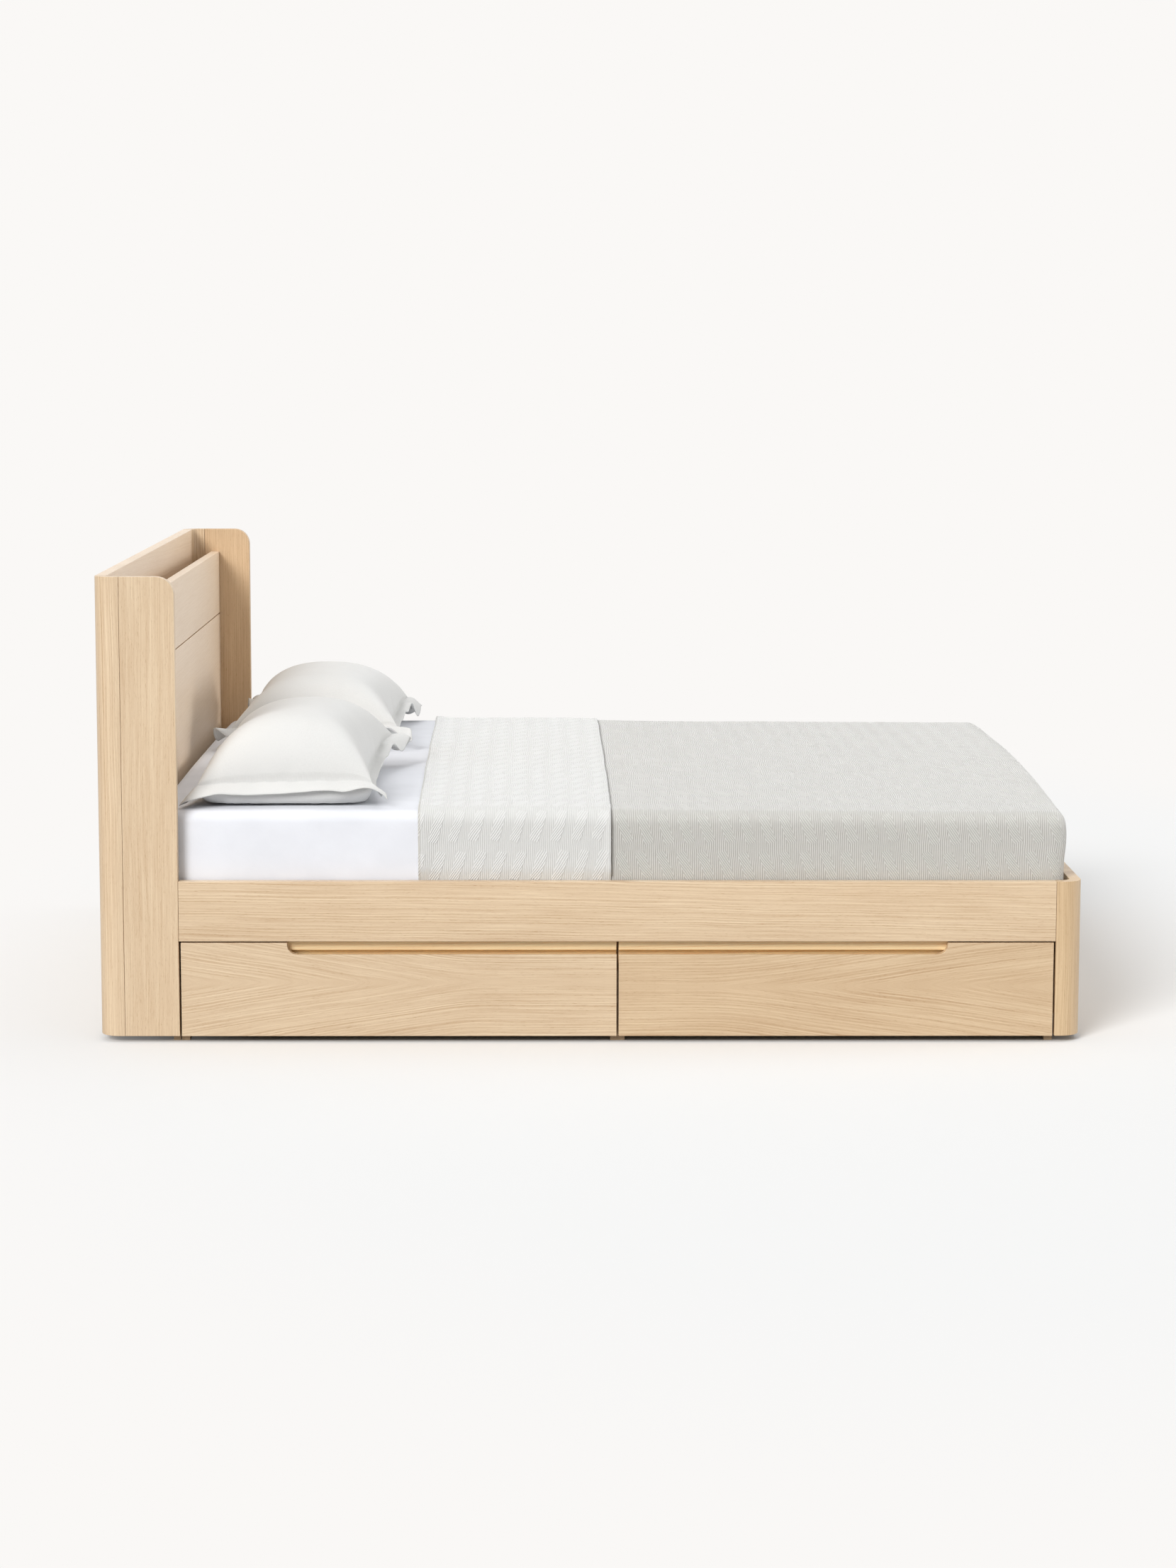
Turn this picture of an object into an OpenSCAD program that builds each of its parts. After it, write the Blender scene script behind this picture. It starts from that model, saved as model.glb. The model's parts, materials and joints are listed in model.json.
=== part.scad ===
// Storage bed: a headboard with rounded wings and a narrow shelf behind its fascia, two side rails,
// a footboard with rounded corners, four drawers on telescopic slides, a slatted base and made-up bedding.
// Millimetres. +X runs from the headboard to the foot, +Z is up, -Y is the near side.
// The origin is on the floor, under the middle of the bed. Depths are measured inwards from a side face,
// and distances along the bed from the back of the headboard.

/* [Overall] */
// Length from the back of the headboard to the outer face of the footboard
bed_l = 2160; // [2100:10:2260]
// Width over the outer faces of the side rails
bed_w = 1856; // [1656:4:2056]
// Height of the headboard
bed_h = 1025; // [990:5:1100]
// Gap between the floor and the fronts, posts and panels
floor_gap = 14; // [10:1:20]
// Thickness of the wings, posts, rails, back panel and footboard
board_t = 25; // [22:1:28]
// Radius that eases the long edges of the visible boards
ease_r = 1.5; // [0.5:0.5:3]
// Gap at a butt joint between two visible boards
joint_gap = 0.6; // [0.2:0.1:0.9]
// Play that lets an inner board slide into its place
fit_gap = 0.3; // [0.1:0.1:0.5]

/* [Headboard] */
// Leg of a head corner post, from its outer corner to the seam
head_post_leg = 56; // [50:1:70]
// Outer radius of the rounded corner posts
post_r = 45; // [35:1:48]
// Depth of the wings, from the back of the headboard to their front edge
wing_depth = 176; // [150:1:200]
// Radius of the upper front corner of a wing
wing_corner_r = 40; // [20:1:55]
// Distance from the back to the front face of the fascia and the lower panel
front_panel_x = 95; // [85:1:110]
// Thickness of the fascia and the lower panel
front_panel_t = 22; // [18:1:25]
// Height of the fascia's top edge
fascia_top = 965; // [930:1:980]
// Height of the fascia's bottom edge
fascia_bottom = 800; // [780:1:830]
// Groove between the fascia and the lower panel
fascia_groove = 3; // [2:0.5:5]
// Thickness of the shelf board
shelf_t = 16; // [12:1:19]
// Height of the shelf board's underside over the fascia's bottom edge
shelf_lift = 1; // [0.5:0.5:8]
// Thickness of the cross board that ties the two wings together at the floor
cross_board_t = 16; // [14:1:22]

/* [Rails and footboard] */
// Height of the side rails' bottom edge
rail_bottom = 225; // [215:1:240]
// Width of the side rails, measured upwards
rail_h = 133; // [115:1:150]
// Leg of a foot corner post, from its outer corner to the seam
foot_post_leg = 58; // [50:1:70]

/* [Base under the mattress] */
// Thickness of the head and foot partitions
partition_t = 18; // [15:1:22]
// Thickness of the middle partition
mid_partition_t = 32; // [24:1:40]
// Gap between an end partition and the headboard or footboard joint line
partition_gap = 2; // [1:0.5:4]
// Height of the slat ledges' underside over the rails' bottom edge
ledge_lift = 37; // [34:1:45]
// Height of a slat ledge
ledge_h = 30; // [24:1:34]
// Width of a slat ledge
ledge_w = 25; // [20:1:35]
// Thickness of the panels along the middle of the bed
centre_panel_t = 18; // [15:1:25]
// Height of the batten behind the footboard
batten_h = 60; // [45:1:70]
// Length of the batten behind the footboard
batten_l = 1500; // [1440:10:1500]
// Number of slats
slat_count = 14; // [10:1:18]
// Width of a slat
slat_w = 70; // [55:1:85]
// Thickness of a slat
slat_t = 18; // [15:1:22]
// Gap between a slat's end and the rail
slat_end_gap = 3; // [1:1:8]

/* [Drawers] */
// Thickness of a drawer front
front_t = 22; // [19:1:23]
// Gap at the sides of a drawer front
front_side_gap = 4.5; // [3:0.5:6]
// Gap between a drawer front and the side rail over it
front_top_gap = 3; // [2:0.5:5]
// Thickness of a drawer's sides and back
box_t = 15; // [12:1:18]
// Height of a drawer's sides
box_h = 132; // [120:1:135]
// Height of the sides' bottom edge over the front's bottom edge
box_lift = 16; // [12:1:20]
// Length of a drawer's sides
box_l = 700; // [660:5:760]
// Thickness of a drawer's bottom
bottom_t = 6; // [4:0.5:9]
// Height of the bottom over the sides' bottom edge
bottom_lift = 8; // [6:1:14]
// Depth of the groove that holds the bottom
groove_d = 6; // [4:0.5:8]

/* [Pull cut-out] */
// Gap between a pull strip and the notch for it in the middle partition
notch_gap = 4; // [2:1:8]
// Distance from a front's outer end to its cut-out
cut_start = 233; // [180:1:400]
// Depth of the cut-out in the front's top edge
cut_depth = 26; // [22:1:30]
// Radius at the outer end of the cut-out
cut_r = 22; // [12:1:22]
// Thickness of the lip that the fingers pull
lip_t = 8; // [6:1:12]
// Height of the slope behind the lip
lip_slope = 20; // [14:1:24]
// Thickness of the solid strip behind the cut-out
strip_t = 24; // [22:1:28]
// Length of the strip beyond the outer end of the cut-out
strip_margin = 20; // [10:1:40]
// Radius of the finger groove in the strip
cove_r = 15; // [12:1:16]
// Height of the lip's edge over the middle of the finger groove
cove_drop = 9; // [5:1:12]

/* [Slides] */
// Length of a slide
slide_l = 600; // [500:10:640]
// Space that a slide takes between a partition and a drawer side
slide_t = 13; // [12.5:0.5:14]
// Height of a slide's outer channel
slide_h = 45; // [40:1:50]
// Thickness of the slides' steel
slide_gauge = 1.4; // [1.2:0.1:1.8]
// Running play between the channels of a slide
slide_play = 0.4; // [0.3:0.1:0.6]
// Set-back of the slides from the partitions' front edges
slide_setback = 5; // [3:1:15]

/* [Hardware] */
// Diameter of a bed bolt
bolt_d = 8; // [6:1:10]
// Length of a bed bolt under its head
bolt_l = 50; // [48:1:52]
// Diameter of a bolt head
bolt_head_d = 14; // [12:0.5:16]
// Height of a bolt head
bolt_head_h = 4; // [3:0.5:6]
// Width over the flats of a bolt's nut
nut_w = 13; // [12:0.5:16]
// Height of a nut
nut_h = 6.5; // [5:0.5:8]
// Play of a bolt in its holes, all round
bolt_play = 0.2; // [0.1:0.1:0.4]
// Distance of the outer bolts from the middle of the bed
bolt_far = 650; // [500:10:690]
// Distance of the inner bolts from the middle of the bed
bolt_close = 260; // [150:10:400]
// Leg of a corner bracket
bracket_leg = 40; // [30:1:50]
// Height of a corner bracket
bracket_h = 30; // [24:1:32]
// Gap between a corner bracket and the slat ledge over it
bracket_gap = 4; // [2:1:5]
// Thickness of a corner bracket's steel
bracket_t = 3; // [2:0.5:4]

/* [Bedding] */
// Height of the mattress at its edges
mattress_h = 200; // [180:5:230]
// Gap between the headboard's front panels and the mattress
mattress_head_gap = 22; // [10:1:40]
// Gap between the mattress and the footboard
mattress_foot_gap = 10; // [8:1:30]
// Radius of the mattress edges
mattress_r = 26; // [20:1:45]
// Crown of the mattress over its edges
mattress_crown = 6; // [2:1:15]
// Width of the bevel along the mattress's lower edges
mattress_bevel = 1; // [0.5:0.5:5]
// Thickness of one layer of the coverlet
cover_t = 3; // [2:0.5:4]
// Gap between the tucked-in coverlet and the side rails
tuck_gap = 1.6; // [1:0.2:4]
// Gap between the coverlet and the mattress
cover_play = 0.4; // [0.2:0.1:0.8]
// Distance from the back of the headboard to the coverlet's folded edge
fold_start = 702; // [660:1:800]
// Width of the part of the coverlet that is folded back
fold_w = 418; // [300:1:500]
// Height of the coverlet's lower edge over the slats
tuck_lift = 6; // [4:1:20]
// Width of a pillow, along the bed, flanges included
pillow_w = 464; // [400:2:480]
// Length of a pillow, across the bed, flanges included
pillow_l = 752; // [700:2:780]
// Width of the flat flange round a pillow
flange_w = 32; // [20:1:45]
// Thickness of the flange
flange_t = 5; // [3:0.5:8]
// Rise of a pillow's crown over its seam
pillow_up = 158; // [120:1:180]
// Drop of a pillow's underside under its seam
pillow_down = 40; // [25:1:60]
// Height of the seam over the mattress
pillow_seam = 28; // [20:1:36]
// Lift of the flange at a pillow's corners
corner_lift = 26; // [0:1:40]
// How far the middle of a pillow's edges is drawn in
pillow_draw = 24; // [5:1:40]
// Distance from the back of the headboard to the middle of the pillows
pillow_x = 410; // [380:1:430]
// Distance from a side face of the bed to the outer edge of a pillow
pillow_inset = 48; // [40:1:100]

/* [Hidden] */
DRAWERS = ["near_head", "near_foot", "far_head", "far_foot"];
BOX_PIECES = ["front", "pull_strip", "outer_side", "inner_side", "back", "bottom"];
DRAWER_PIECES = concat(BOX_PIECES, ["slide", "middle_slide"]);
$fn = 48;

// Colours
oak = [0.88, 0.78, 0.65];
oak_inside = [0.80, 0.69, 0.56];
oak_solid = [0.86, 0.70, 0.50];
birch = [0.89, 0.82, 0.70];
zinc = [0.72, 0.73, 0.75];
sheet_white = [0.95, 0.95, 0.96];
linen = [0.91, 0.91, 0.89];
coverlet_grey = [0.80, 0.79, 0.77];

// Planes of the headboard and the frame
back_x = -bed_l / 2;
foot_x = bed_l / 2;
near_y = -bed_w / 2;
wing_front_x = back_x + wing_depth;
post_foot_x = foot_x - foot_post_leg;
rail_top = rail_bottom + rail_h;
inner_w = bed_w - 2 * board_t;
panel_face_x = back_x + front_panel_x;

// Partitions and bays
head_partition_x = wing_front_x + partition_gap;
foot_partition_x = post_foot_x - partition_gap - partition_t;
mid_x = (head_partition_x + foot_partition_x + partition_t) / 2;
bay_start = head_partition_x + partition_t;
bay_end = mid_x - mid_partition_t / 2;
ledge_z = rail_bottom + ledge_lift;
slat_z = ledge_z + ledge_h;
slat_top = slat_z + slat_t;
slat_pitch = (post_foot_x - head_partition_x - slat_w) / (slat_count - 1);

// Drawers, drawn for the near side and the head end
front_start = wing_front_x + front_side_gap;
front_l = (post_foot_x - wing_front_x - 3 * front_side_gap) / 2;
front_end = front_start + front_l;
front_top = rail_bottom - front_top_gap;
lip_z = front_top - cut_depth;
box_z = floor_gap + box_lift;
box_top = box_z + box_h;
box_start = bay_start + slide_t;
box_end = bay_end - slide_t;
box_y = near_y + front_t;
cut_x = front_start + cut_start;
bottom_z = box_z + bottom_lift;
slide_z = box_z + box_h / 2;
slide_y = near_y + board_t + slide_setback;
slide_step = slide_gauge + slide_play;

// Hardware heights
bolt_z = ledge_z - batten_h / 2;
bracket_z = ledge_z - bracket_h - bracket_gap;
over = 1;

// Mattress and coverlet
mattress_start = panel_face_x + mattress_head_gap;
mattress_end = foot_x - board_t - mattress_foot_gap;
mattress_w = inner_w - 2 * (2 * cover_t + cover_play + tuck_gap);
mattress_top = slat_top + mattress_h;
corner_steps = 5;
top_steps = 8;

// A board with its long edges eased, drawn from one corner
module eased_board(size) {
    longest = max(size);
    axis = size[0] == longest ? 0 : size[1] == longest ? 1 : 2;
    if (axis == 0)
        translate([0, 0, size[2]]) rotate([0, 90, 0]) eased_bar(size[2], size[1], size[0]);
    else if (axis == 1)
        translate([0, size[1], 0]) rotate([90, 0, 0]) eased_bar(size[0], size[2], size[1]);
    else
        eased_bar(size[0], size[1], size[2]);
}

// A bar of a given section, drawn from one corner along +Z
module eased_bar(w, d, l) {
    linear_extrude(l) {
        translate([ease_r, 0]) square([w - 2 * ease_r, d]);
        translate([0, ease_r]) square([w, d - 2 * ease_r]);
        for (x = [ease_r, w - ease_r], y = [ease_r, d - ease_r])
            translate([x, y]) circle(ease_r, $fn = 24);
    }
}

// A shape drawn for the near side, or its mirror image on the far side
module on_side(side) {
    if (side == "far")
        mirror([0, 1, 0]) children();
    else
        children();
}

// A shape drawn for the head bay, or its mirror image in the foot bay
module in_bay(bay) {
    if (bay == "foot")
        translate([mid_x, 0, 0]) mirror([1, 0, 0]) translate([-mid_x, 0, 0]) children();
    else
        children();
}

// A shape drawn for the near head drawer, at another drawer's place
module at_drawer(name) {
    far = name == "far_head" || name == "far_foot";
    foot = name == "near_foot" || name == "far_foot";
    on_side(far ? "far" : "near") in_bay(foot ? "foot" : "head") children();
}

// Section of a corner post, with its outer corner at the origin and legs along +X and +Y
module post_section(leg) {
    difference() {
        union() {
            intersection() {
                translate([post_r, post_r]) circle(post_r, $fn = 96);
                square([post_r, post_r]);
            }
            translate([post_r, 0]) square([leg - post_r, leg]);
            translate([0, post_r]) square([leg, leg - post_r]);
        }
        translate([post_r, post_r]) circle(post_r - board_t, $fn = 96);
        translate([post_r, board_t]) square([leg, leg]);
        translate([board_t, post_r]) square([leg, leg]);
    }
}

module back_panel() {
    seam = head_post_leg + joint_gap;
    color(oak)
        translate([back_x, near_y + seam, floor_gap])
            eased_board([board_t, bed_w - 2 * seam, bed_h - floor_gap]);
}

module head_post(side) {
    color(oak)
        on_side(side)
            translate([back_x, near_y, floor_gap])
                linear_extrude(bed_h - floor_gap) post_section(head_post_leg);
}

// A wing: a board on edge with its upper front corner rounded
module wing(side) {
    start = back_x + head_post_leg + joint_gap;
    l = wing_front_x - start;
    h = bed_h - floor_gap;
    color(oak)
        on_side(side)
            translate([start, near_y + board_t, floor_gap])
                rotate([90, 0, 0])
                    linear_extrude(board_t) {
                        square([l, h - wing_corner_r]);
                        square([l - wing_corner_r, h]);
                        translate([l - wing_corner_r, h - wing_corner_r]) circle(wing_corner_r, $fn = 96);
                    }
}

module upper_fascia() {
    color(oak)
        translate([panel_face_x - front_panel_t, -inner_w / 2 + fit_gap, fascia_bottom])
            eased_board([front_panel_t, inner_w - 2 * fit_gap, fascia_top - fascia_bottom]);
}

module lower_panel() {
    top = fascia_bottom - fascia_groove;
    color(oak)
        translate([panel_face_x - front_panel_t, -inner_w / 2 + fit_gap, rail_bottom])
            eased_board([front_panel_t, inner_w - 2 * fit_gap, top - rail_bottom]);
}

// The floor of the narrow compartment behind the fascia
module headboard_shelf() {
    start = back_x + board_t + fit_gap;
    l = panel_face_x - front_panel_t - fit_gap - start;
    w = bed_w - 2 * (head_post_leg + joint_gap);
    color(oak_inside)
        translate([start, -w / 2, fascia_bottom + shelf_lift])
            cube([l, w, shelf_t]);
}

module head_cross_board() {
    color(oak_inside)
        difference() {
            translate([wing_front_x - cross_board_t, -inner_w / 2, 0])
                cube([cross_board_t, inner_w, ledge_z]);
            bolt_holes(wing_front_x - cross_board_t - over, cross_board_t + 2 * over);
        }
}

module side_rail(side) {
    start = wing_front_x + joint_gap;
    color(oak)
        on_side(side)
            translate([start, near_y, rail_bottom])
                eased_board([post_foot_x - joint_gap - start, board_t, rail_h]);
}

module footboard() {
    seam = foot_post_leg + joint_gap;
    color(oak)
        translate([foot_x - board_t, near_y + seam, floor_gap])
            eased_board([board_t, bed_w - 2 * seam, rail_top - floor_gap]);
}

module foot_post(side) {
    color(oak)
        on_side(side)
            translate([foot_x, near_y, floor_gap])
                rotate([0, 0, 90])
                    linear_extrude(rail_top - floor_gap) post_section(foot_post_leg);
}

// The batten that spaces the footboard from the foot partition
module foot_batten() {
    start = foot_partition_x + partition_t;
    color(birch)
        difference() {
            translate([start, -batten_l / 2, ledge_z - batten_h])
                cube([foot_x - board_t - start, batten_l, batten_h]);
            bolt_holes(start - over, bolt_l - partition_t + 2 * over);
        }
}

// Clearance holes for the four bolts of one end, along +X
module bolt_holes(x, l) {
    for (y = [-bolt_far, -bolt_close, bolt_close, bolt_far])
        translate([x, y, bolt_z]) rotate([0, 90, 0]) cylinder(h = l, d = bolt_d + 2 * bolt_play);
}

module end_partition(x) {
    color(oak_inside)
        difference() {
            translate([x, -inner_w / 2, 0]) cube([partition_t, inner_w, ledge_z]);
            bolt_holes(x - over, partition_t + 2 * over);
        }
}

// The middle partition, notched at both ends for the strips of the drawers on either side
module middle_partition() {
    notch_w = strip_t + front_t - board_t + notch_gap;
    notch_z = box_top - notch_gap;
    color(oak_inside)
        difference() {
            translate([bay_end, -inner_w / 2, 0]) cube([mid_partition_t, inner_w, ledge_z]);
            for (side = ["near", "far"])
                on_side(side)
                    translate([bay_end - over, -inner_w / 2 - over, notch_z])
                        cube([mid_partition_t + 2 * over, notch_w + over, rail_bottom - notch_z]);
        }
}

module centre_panels() {
    color(birch)
        for (bay = ["head", "foot"])
            in_bay(bay)
                translate([bay_start, -centre_panel_t / 2, floor_gap])
                    cube([bay_end - bay_start, centre_panel_t, slat_z - floor_gap]);
}

module slat_ledges() {
    start = wing_front_x + joint_gap;
    color(birch)
        for (side = ["near", "far"])
            on_side(side)
                translate([start, near_y + board_t, ledge_z])
                    cube([post_foot_x - joint_gap - start, ledge_w, ledge_h]);
}

module slats() {
    l = inner_w - 2 * slat_end_gap;
    color(birch)
        for (i = [0 : slat_count - 1])
            translate([head_partition_x + i * slat_pitch, -l / 2, slat_z])
                cube([slat_w, l, slat_t]);
}

// An angle of steel in the corner between a rail or wing and a board across the bed
module corner_bracket() {
    cube([bracket_leg, bracket_t, bracket_h]);
    cube([bracket_t, bracket_leg, bracket_h]);
}

module corner_brackets() {
    color(zinc)
        for (side = ["near", "far"])
            on_side(side) {
                for (bay = ["head", "foot"])
                    in_bay(bay) {
                        translate([bay_start, near_y + board_t, bracket_z]) corner_bracket();
                        translate([bay_end, near_y + board_t, bracket_z]) mirror([1, 0, 0]) corner_bracket();
                    }
                translate([wing_front_x - cross_board_t, near_y + board_t, bracket_z])
                    mirror([1, 0, 0]) corner_bracket();
            }
}

// A bed bolt along -X with its head at the origin's +X side
module bed_bolt() {
    rotate([0, 90, 0]) cylinder(h = bolt_head_h, d = bolt_head_d);
    rotate([0, -90, 0]) cylinder(h = bolt_l, d = bolt_d);
}

module bolt_nut() {
    rotate([0, -90, 0])
        difference() {
            cylinder(h = nut_h, d = nut_w / cos(30), $fn = 6);
            translate([0, 0, -over]) cylinder(h = nut_h + 2 * over, d = bolt_d + 2 * bolt_play);
        }
}

// Bolts through the head partition and the cross board, and through the foot partition and the batten
module bed_bolts() {
    color(zinc)
        for (y = [-bolt_far, -bolt_close, bolt_close, bolt_far]) {
            translate([bay_start, y, bolt_z]) bed_bolt();
            translate([wing_front_x - cross_board_t, y, bolt_z]) bolt_nut();
            translate([foot_partition_x, y, bolt_z]) mirror([1, 0, 0]) bed_bolt();
        }
}

// A steel channel along +Y that opens towards +X
module channel(depth, h) {
    translate([0, slide_l, 0])
        rotate([90, 0, 0])
            linear_extrude(slide_l)
                difference() {
                    translate([0, -h / 2]) square([depth, h]);
                    translate([slide_gauge, slide_gauge - h / 2]) square([depth, h - 2 * slide_gauge]);
                }
}

// A shape drawn against the outer partition, and its mirror image against the middle one
module both_slides() {
    bay_mid = (bay_start + bay_end) / 2;
    for (m = [0, 1])
        translate([bay_mid, slide_y, slide_z])
            mirror([m, 0, 0]) translate([bay_start - bay_mid, 0, 0]) children();
}

module cabinet_slides() {
    color(zinc)
        for (d = DRAWERS)
            at_drawer(d) both_slides() channel(slide_t - 2 * slide_step, slide_h);
}

module middle_slide() {
    color(zinc)
        both_slides()
            translate([slide_step, 0, 0]) channel(slide_t - 2 * slide_step, slide_h - 2 * slide_step);
}

module drawer_slide() {
    color(zinc)
        both_slides()
            translate([slide_t, 0, 0]) mirror([1, 0, 0])
                channel(slide_t - 2 * slide_step, slide_h - 4 * slide_step);
}

// Outline of a drawer front from its outer end, with the cut-out in its top edge
module front_outline() {
    h = front_top - floor_gap;
    difference() {
        square([front_l, h]);
        translate([cut_start + cut_r, h - cut_depth]) square([front_l, cut_depth + over]);
        translate([cut_start, h - cut_depth + cut_r]) square([front_l, cut_depth - cut_r + over]);
        translate([cut_start + cut_r, h - cut_depth + cut_r]) circle(cut_r, $fn = 96);
    }
}

module drawer_front() {
    slope_start = cut_x + cut_r;
    back = front_t + over;
    color(oak)
        difference() {
            translate([front_start, near_y + front_t, floor_gap])
                rotate([90, 0, 0]) linear_extrude(front_t) front_outline();
            translate([slope_start, near_y, lip_z])
                rotate([90, 0, 90])
                    linear_extrude(front_l)
                        polygon([[lip_t, 0], [back, over], [back, -lip_slope], [front_t, -lip_slope]]);
            translate([slope_start, near_y + lip_t, lip_z]) cube([front_l, front_t, cut_depth + over]);
        }
}

// The solid strip behind the cut-out, with the finger groove along it
module drawer_pull_strip() {
    start = cut_x - strip_margin;
    color(oak_solid)
        translate([start, near_y + front_t, 0])
            rotate([90, 0, 90])
                linear_extrude(front_end - start)
                    difference() {
                        translate([0, box_top]) square([strip_t, front_top - box_top]);
                        translate([0, lip_z - cove_drop]) circle(cove_r, $fn = 96);
                    }
}

module drawer_side(x, groove_x) {
    color(birch)
        difference() {
            translate([x, box_y, box_z]) cube([box_t, box_l, box_h]);
            translate([groove_x, box_y - over, bottom_z])
                cube([groove_d + over, box_l + 2 * over, bottom_t + fit_gap]);
        }
}

module drawer_outer_side() {
    drawer_side(box_start, box_start + box_t - groove_d);
}

module drawer_inner_side() {
    drawer_side(box_end - box_t, box_end - box_t - over);
}

module drawer_back() {
    start = box_start + box_t;
    z = bottom_z + bottom_t + fit_gap;
    color(birch)
        translate([start, box_y + box_l - box_t, z])
            cube([box_end - box_t - start, box_t, box_top - z]);
}

module drawer_bottom() {
    start = box_start + box_t - groove_d + fit_gap;
    end = box_end - box_t + groove_d - fit_gap;
    color(birch)
        translate([start, box_y + fit_gap, bottom_z])
            cube([end - start, box_l - fit_gap, bottom_t]);
}

// Half a cross-section of the mattress top, from the side up and in to the middle, as [y, z] pairs.
// The section is grown outwards by grow, and drawn in by inset where the end is rounded.
function top_edge(grow, inset) =
    let (r = mattress_r + grow, half = mattress_w / 2 + grow - inset, top = mattress_top + grow - inset)
    concat(
        [for (k = [0 : corner_steps]) let (a = 90 * k / corner_steps)
            [half - r + r * cos(a), top - r + r * sin(a)]],
        [for (k = [1 : top_steps]) let (s = k / top_steps)
            [(half - r) * (1 - s), top + mattress_crown * (1 - pow(1 - s, 2))]]);

// The whole section from the near side over the top to the far side
function over_top(grow, inset) =
    let (half = top_edge(grow, inset), n = len(half))
    concat(
        [for (p = half) [-p[0], p[1]]],
        [for (k = [n - 2 : -1 : 0]) half[k]]);

// Distances and insets where an end is rounded, from the flat of the end back to the full section
function end_rounding(grow) =
    let (r = mattress_r + grow)
    [for (k = [0 : corner_steps]) let (a = 90 * k / corner_steps) [r * (1 - cos(a)), r * (1 - sin(a))]];

// A closed solid through rings of equal length, with a flat cap at each end
module loft(rings) {
    n = len(rings[0]);
    last = (len(rings) - 1) * n;
    polyhedron(
        points = [for (ring = rings) for (p = ring) p],
        faces = concat(
            [[for (j = [0 : n - 1]) j]],
            [[for (j = [n - 1 : -1 : 0]) last + j]],
            [for (i = [0 : len(rings) - 2]) for (j = [0 : n - 1]) for (t = [0, 1])
                let (a = i * n + j, b = i * n + (j + 1) % n)
                t == 0 ? [a, a + n, b] : [b, a + n, b + n]]));
}

// A closed section of the mattress at one distance along the bed
function mattress_ring(x, inset) =
    let (path = over_top(0, inset), low = slat_top + inset / 2, half = mattress_w / 2 - inset)
    concat(
        [[x, -half, low + mattress_bevel]],
        [for (p = path) [x, p[0], p[1]]],
        [[x, half, low + mattress_bevel], [x, half - mattress_bevel, low], [x, mattress_bevel - half, low]]);

module mattress() {
    ends = end_rounding(0);
    n = len(ends);
    color(sheet_white)
        loft(concat(
            [for (k = [0 : n - 1]) mattress_ring(mattress_start + ends[k][0], ends[k][1])],
            [for (k = [n - 1 : -1 : 0]) mattress_ring(mattress_end - ends[k][0], ends[k][1])]));
}

// The coverlet's section at one distance: the path over the mattress, down to the tucked-in edges
function cover_row(x, grow, inset) =
    let (path = over_top(grow, inset), n = len(path), low = slat_top + tuck_lift)
    concat([[x, path[0][0], low]], [for (p = path) [x, p[0], p[1]]], [[x, path[n - 1][0], low]]);

// Rows of the coverlet's inside (grow = play) or outside (grow = play plus its layers)
function cover_rows(flat_grow, fold_grow) =
    let (fold_x = back_x + fold_start, fold_end = fold_x + fold_w)
    let (ends = end_rounding(flat_grow), n = len(ends))
    concat(
        [cover_row(fold_x, fold_grow, 0), cover_row(fold_end, fold_grow, 0)],
        [cover_row(fold_end + cover_t, flat_grow, 0)],
        [for (k = [n - 1 : -1 : 0]) cover_row(mattress_end + flat_grow - ends[k][0], flat_grow, ends[k][1])]);

// A sheet with two faces, one through rows of outer points and one through rows of inner points,
// open at the first row and along both edges' undersides, and closed across the last row
module shell(outer, inner) {
    m = len(outer);
    n = len(outer[0]);
    all = m * n;
    polyhedron(
        points = concat([for (row = outer) for (p = row) p], [for (row = inner) for (p = row) p]),
        faces = concat(
            [for (i = [0 : m - 2]) for (j = [0 : n - 2]) for (t = [0, 1]) let (a = i * n + j)
                t == 0 ? [a, a + 1, a + n] : [a + 1, a + n + 1, a + n]],
            [for (i = [0 : m - 2]) for (j = [0 : n - 2]) for (t = [0, 1]) let (a = all + i * n + j)
                t == 0 ? [a, a + n, a + 1] : [a + 1, a + n, a + n + 1]],
            [for (j = [0 : n - 2]) [j, j + all, j + all + 1, j + 1]],
            [for (i = [0 : m - 2]) let (a = i * n) [a, a + n, a + n + all, a + all]],
            [for (i = [0 : m - 2]) let (a = i * n + n - 1) [a, a + all, a + n + all, a + n]],
            [[for (j = [0 : n - 1]) (m - 1) * n + j]],
            [[for (j = [n - 1 : -1 : 0]) all + (m - 1) * n + j]],
            [[(m - 1) * n, m * n - 1, all + m * n - 1, all + (m - 1) * n]]));
}

// The coverlet over the foot part of the mattress, tucked in, with its upper end folded back double
module coverlet() {
    color(coverlet_grey)
        shell(cover_rows(cover_play + cover_t, cover_play + 2 * cover_t), cover_rows(cover_play, cover_play));
}

// Places across a pillow from one edge to the other, close together near the seam
function pillow_steps(seam) =
    let (inside = [1, 0.985, 0.95, 0.89, 0.8, 0.66, 0.48, 0.25, 0])
    concat(
        [-1], [for (s = inside) -s * seam],
        [for (k = [len(inside) - 2 : -1 : 0]) inside[k] * seam], [1]);

// Fullness of a pillow: 1 in its middle, 0 at its seam
function fullness(a, b) = sqrt(max(0, 1 - pow(abs(a), 3)) * max(0, 1 - pow(b, 4)));

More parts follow.
